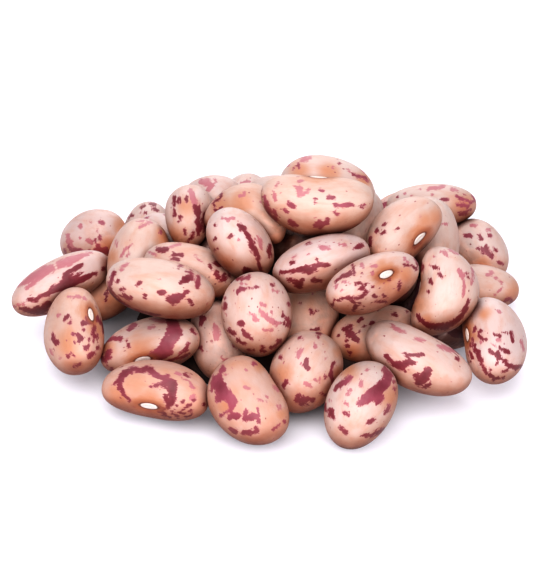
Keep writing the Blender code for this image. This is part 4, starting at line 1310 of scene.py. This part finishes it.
def bean_skin():
    """The skins' material, layer over layer, read from the fields of each pile."""
    graph = Graph("bean_skin")
    place = graph.field("noise_place")
    local = graph.field("skin_place")
    dark_gap, faint_gap, mauve = graph.split(graph.field("marks"))
    crease_shade, downward, covered = graph.split(graph.field("shade"))
    pink, dots, warm = graph.split(graph.field("look"))
    away = graph.ramp(graph.split(local)[1], 0.0, 1.0, 50.0, 0.0)
    noises = Noises(graph, place)
    skin = plain_skin(graph, noises, pink)
    skin = warmed(graph, skin, place, local, noises, warm, away)
    skin = marked(graph, skin, noises, dark_gap, faint_gap, mauve)
    skin = dotted(graph, skin, place, noises, dots)
    skin = painted_slope_shading(graph, skin, noises, downward)
    skin, scar = scarred(graph, skin, local, noises, away)
    skin = painted_shade_and_light(graph, skin, noises, crease_shade, covered)
    graph.feed(graph.shader.inputs["Base Color"], skin)
    add_sheen(graph, place, noises, scar)
    return graph.material


def mound_shade_skin():
    """Painted shade: dark brown, in patches."""
    graph = Graph("inner_shade_mound")
    place = graph.tree.nodes.new("ShaderNodeTexCoord").outputs["Object"]
    patches = graph.ramp(graph.noise(place, 260.0, 3.0), -0.3, 0.4)
    # painted shade: the mound is dark so that the gaps between the beans read as deep shadow
    graph.feed(graph.shader.inputs["Base Color"], graph.mix(patches, MOUND_SHADE_DARK, MOUND_SHADE_BROWN))
    graph.shader.inputs["Roughness"].default_value = 0.8
    return graph.material


def core_piece(beans):
    """The dark mound inside the heap, which closes the gaps between the beans with painted shade."""
    shares = np.linspace(0, 1, CORE_STEPS)
    heights = CORE_SKIRT + (CORE_HEIGHT - CORE_SKIRT) * (1 - shares ** CORE_FULLNESS)
    shares = np.append(shares, [1.0, 0.0])
    heights = np.append(heights, [0.0, 0.0])
    angles = 2 * np.pi * np.arange(CORE_COLUMNS) / CORE_COLUMNS
    across = shares[:, None] * np.array([foot_radius(angle, beans) for angle in angles])
    up = np.broadcast_to(heights[:, None], across.shape)
    points = np.stack([across * np.cos(angles), across * np.sin(angles), up], axis=-1).reshape(-1, 3)
    mesh = bpy.data.meshes.new("inner_shade_mound")
    mesh.from_pydata((points * METRES).tolist(), [], grid_faces(len(shares), CORE_COLUMNS).tolist())
    mesh.validate()
    heap_piece(mesh, mound_shade_skin())


def floor_piece():
    """A pale floor that glows a little, which is painted light, but not under the heap, which is painted
    shade.
    """
    half = FLOOR_HALF
    corners = [(-half, -half, 0), (half, -half, 0), (half, half, 0), (-half, half, 0)]
    mesh = bpy.data.meshes.new("floor")
    mesh.from_pydata(corners, [], [(0, 1, 2, 3)])
    graph = Graph("floor")
    graph.shader.inputs["Base Color"].default_value = FLOOR_GREY
    graph.shader.inputs["Emission Color"].default_value = FLOOR_GLOW
    away = graph.vector("LENGTH", graph.tree.nodes.new("ShaderNodeTexCoord").outputs["Object"])
    # painted light: the floor glows round the heap, and painted shade: the glow is cut under it
    graph.feed(graph.shader.inputs["Emission Strength"], graph.ramp(away, *GLOW_EDGE, *GLOW_STRENGTH))
    graph.shader.inputs["Roughness"].default_value = 0.7
    graph.shader.inputs["Specular IOR Level"].default_value = 0.2
    mesh.materials.append(graph.material)
    thing = in_scene("floor", mesh)


def soft_light(lamp):
    data = bpy.data.lights.new(lamp.name, "AREA")
    data.shape = "DISK"
    data.size = lamp.size
    data.energy = lamp.power
    data.color = lamp.colour
    thing = in_scene(lamp.name, data)
    thing.location = lamp.place
    look_at(thing, lamp.target)


def look_at(thing, target):
    """Turn a lamp or camera to face a place."""
    from_target = np.array(thing.location) - np.array(target)
    tilt = math.atan2(math.hypot(from_target[0], from_target[1]), from_target[2])
    thing.rotation_euler = (tilt, 0.0, math.atan2(from_target[0], -from_target[1]))


def set_stage():
    """The studio: a dim even light, the lamps and the camera."""
    scene = bpy.context.scene
    scene.world = bpy.data.worlds.new("studio")
    scene.world.use_nodes = True
    background = scene.world.node_tree.nodes["Background"]
    background.inputs["Color"].default_value = STUDIO_LIGHT
    background.inputs["Strength"].default_value = STUDIO_STRENGTH
    for lamp in LAMPS:
        soft_light(lamp)
    camera = in_scene("camera", bpy.data.cameras.new("camera"))
    camera.location = SIGHT_EYE * METRES
    look_at(camera, SIGHT_TARGET * METRES)
    camera.data.sensor_width = SENSOR_WIDTH
    camera.data.lens = LENS
    camera.data.clip_start = 0.01
    scene.camera = camera
    scene.view_settings.view_transform = "Standard"
    scene.view_settings.gamma = GAMMA


def bean_looks(beans, random):
    """Each bean's look by name: as seen in the picture, or drawn at random."""
    looks = {}
    for bean in beans:
        if bean.name in LOOKS:
            looks[bean.name] = LOOKS[bean.name]
        else:
            kind = KINDS[random.integers(len(KINDS))]
            looks[bean.name] = Look(kind, *random.uniform(LOOK_LEAST, LOOK_MOST))
    return looks


def bean_piles(beans):
    """One piece for the beans of each kind. The cells of a pile's map form a square."""
    random = np.random.default_rng(SEED + 1)
    looks = bean_looks(beans, random)
    material = bean_skin()
    for kind in KINDS:
        chosen = [bean for bean in beans if looks[bean.name].kind == kind]
        across = math.ceil(math.sqrt(len(chosen)))
        side = (1 - 2 * MAP_MARGIN) / across
        pile = Pile()
        for number, bean in enumerate(chosen):
            cell = (MAP_MARGIN + number % across / across, MAP_MARGIN + number // across / across, side)
            dress(pile, bean, looks[bean.name], cell, beans, random)
        pile.piece(kind + "_beans", material)


def main():
    for thing in list(bpy.data.objects):
        bpy.data.objects.remove(thing)
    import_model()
    beans = lay_out()
    settle(beans)
    bean_piles(beans)
    core_piece(beans)
    floor_piece()
    set_stage()


main()
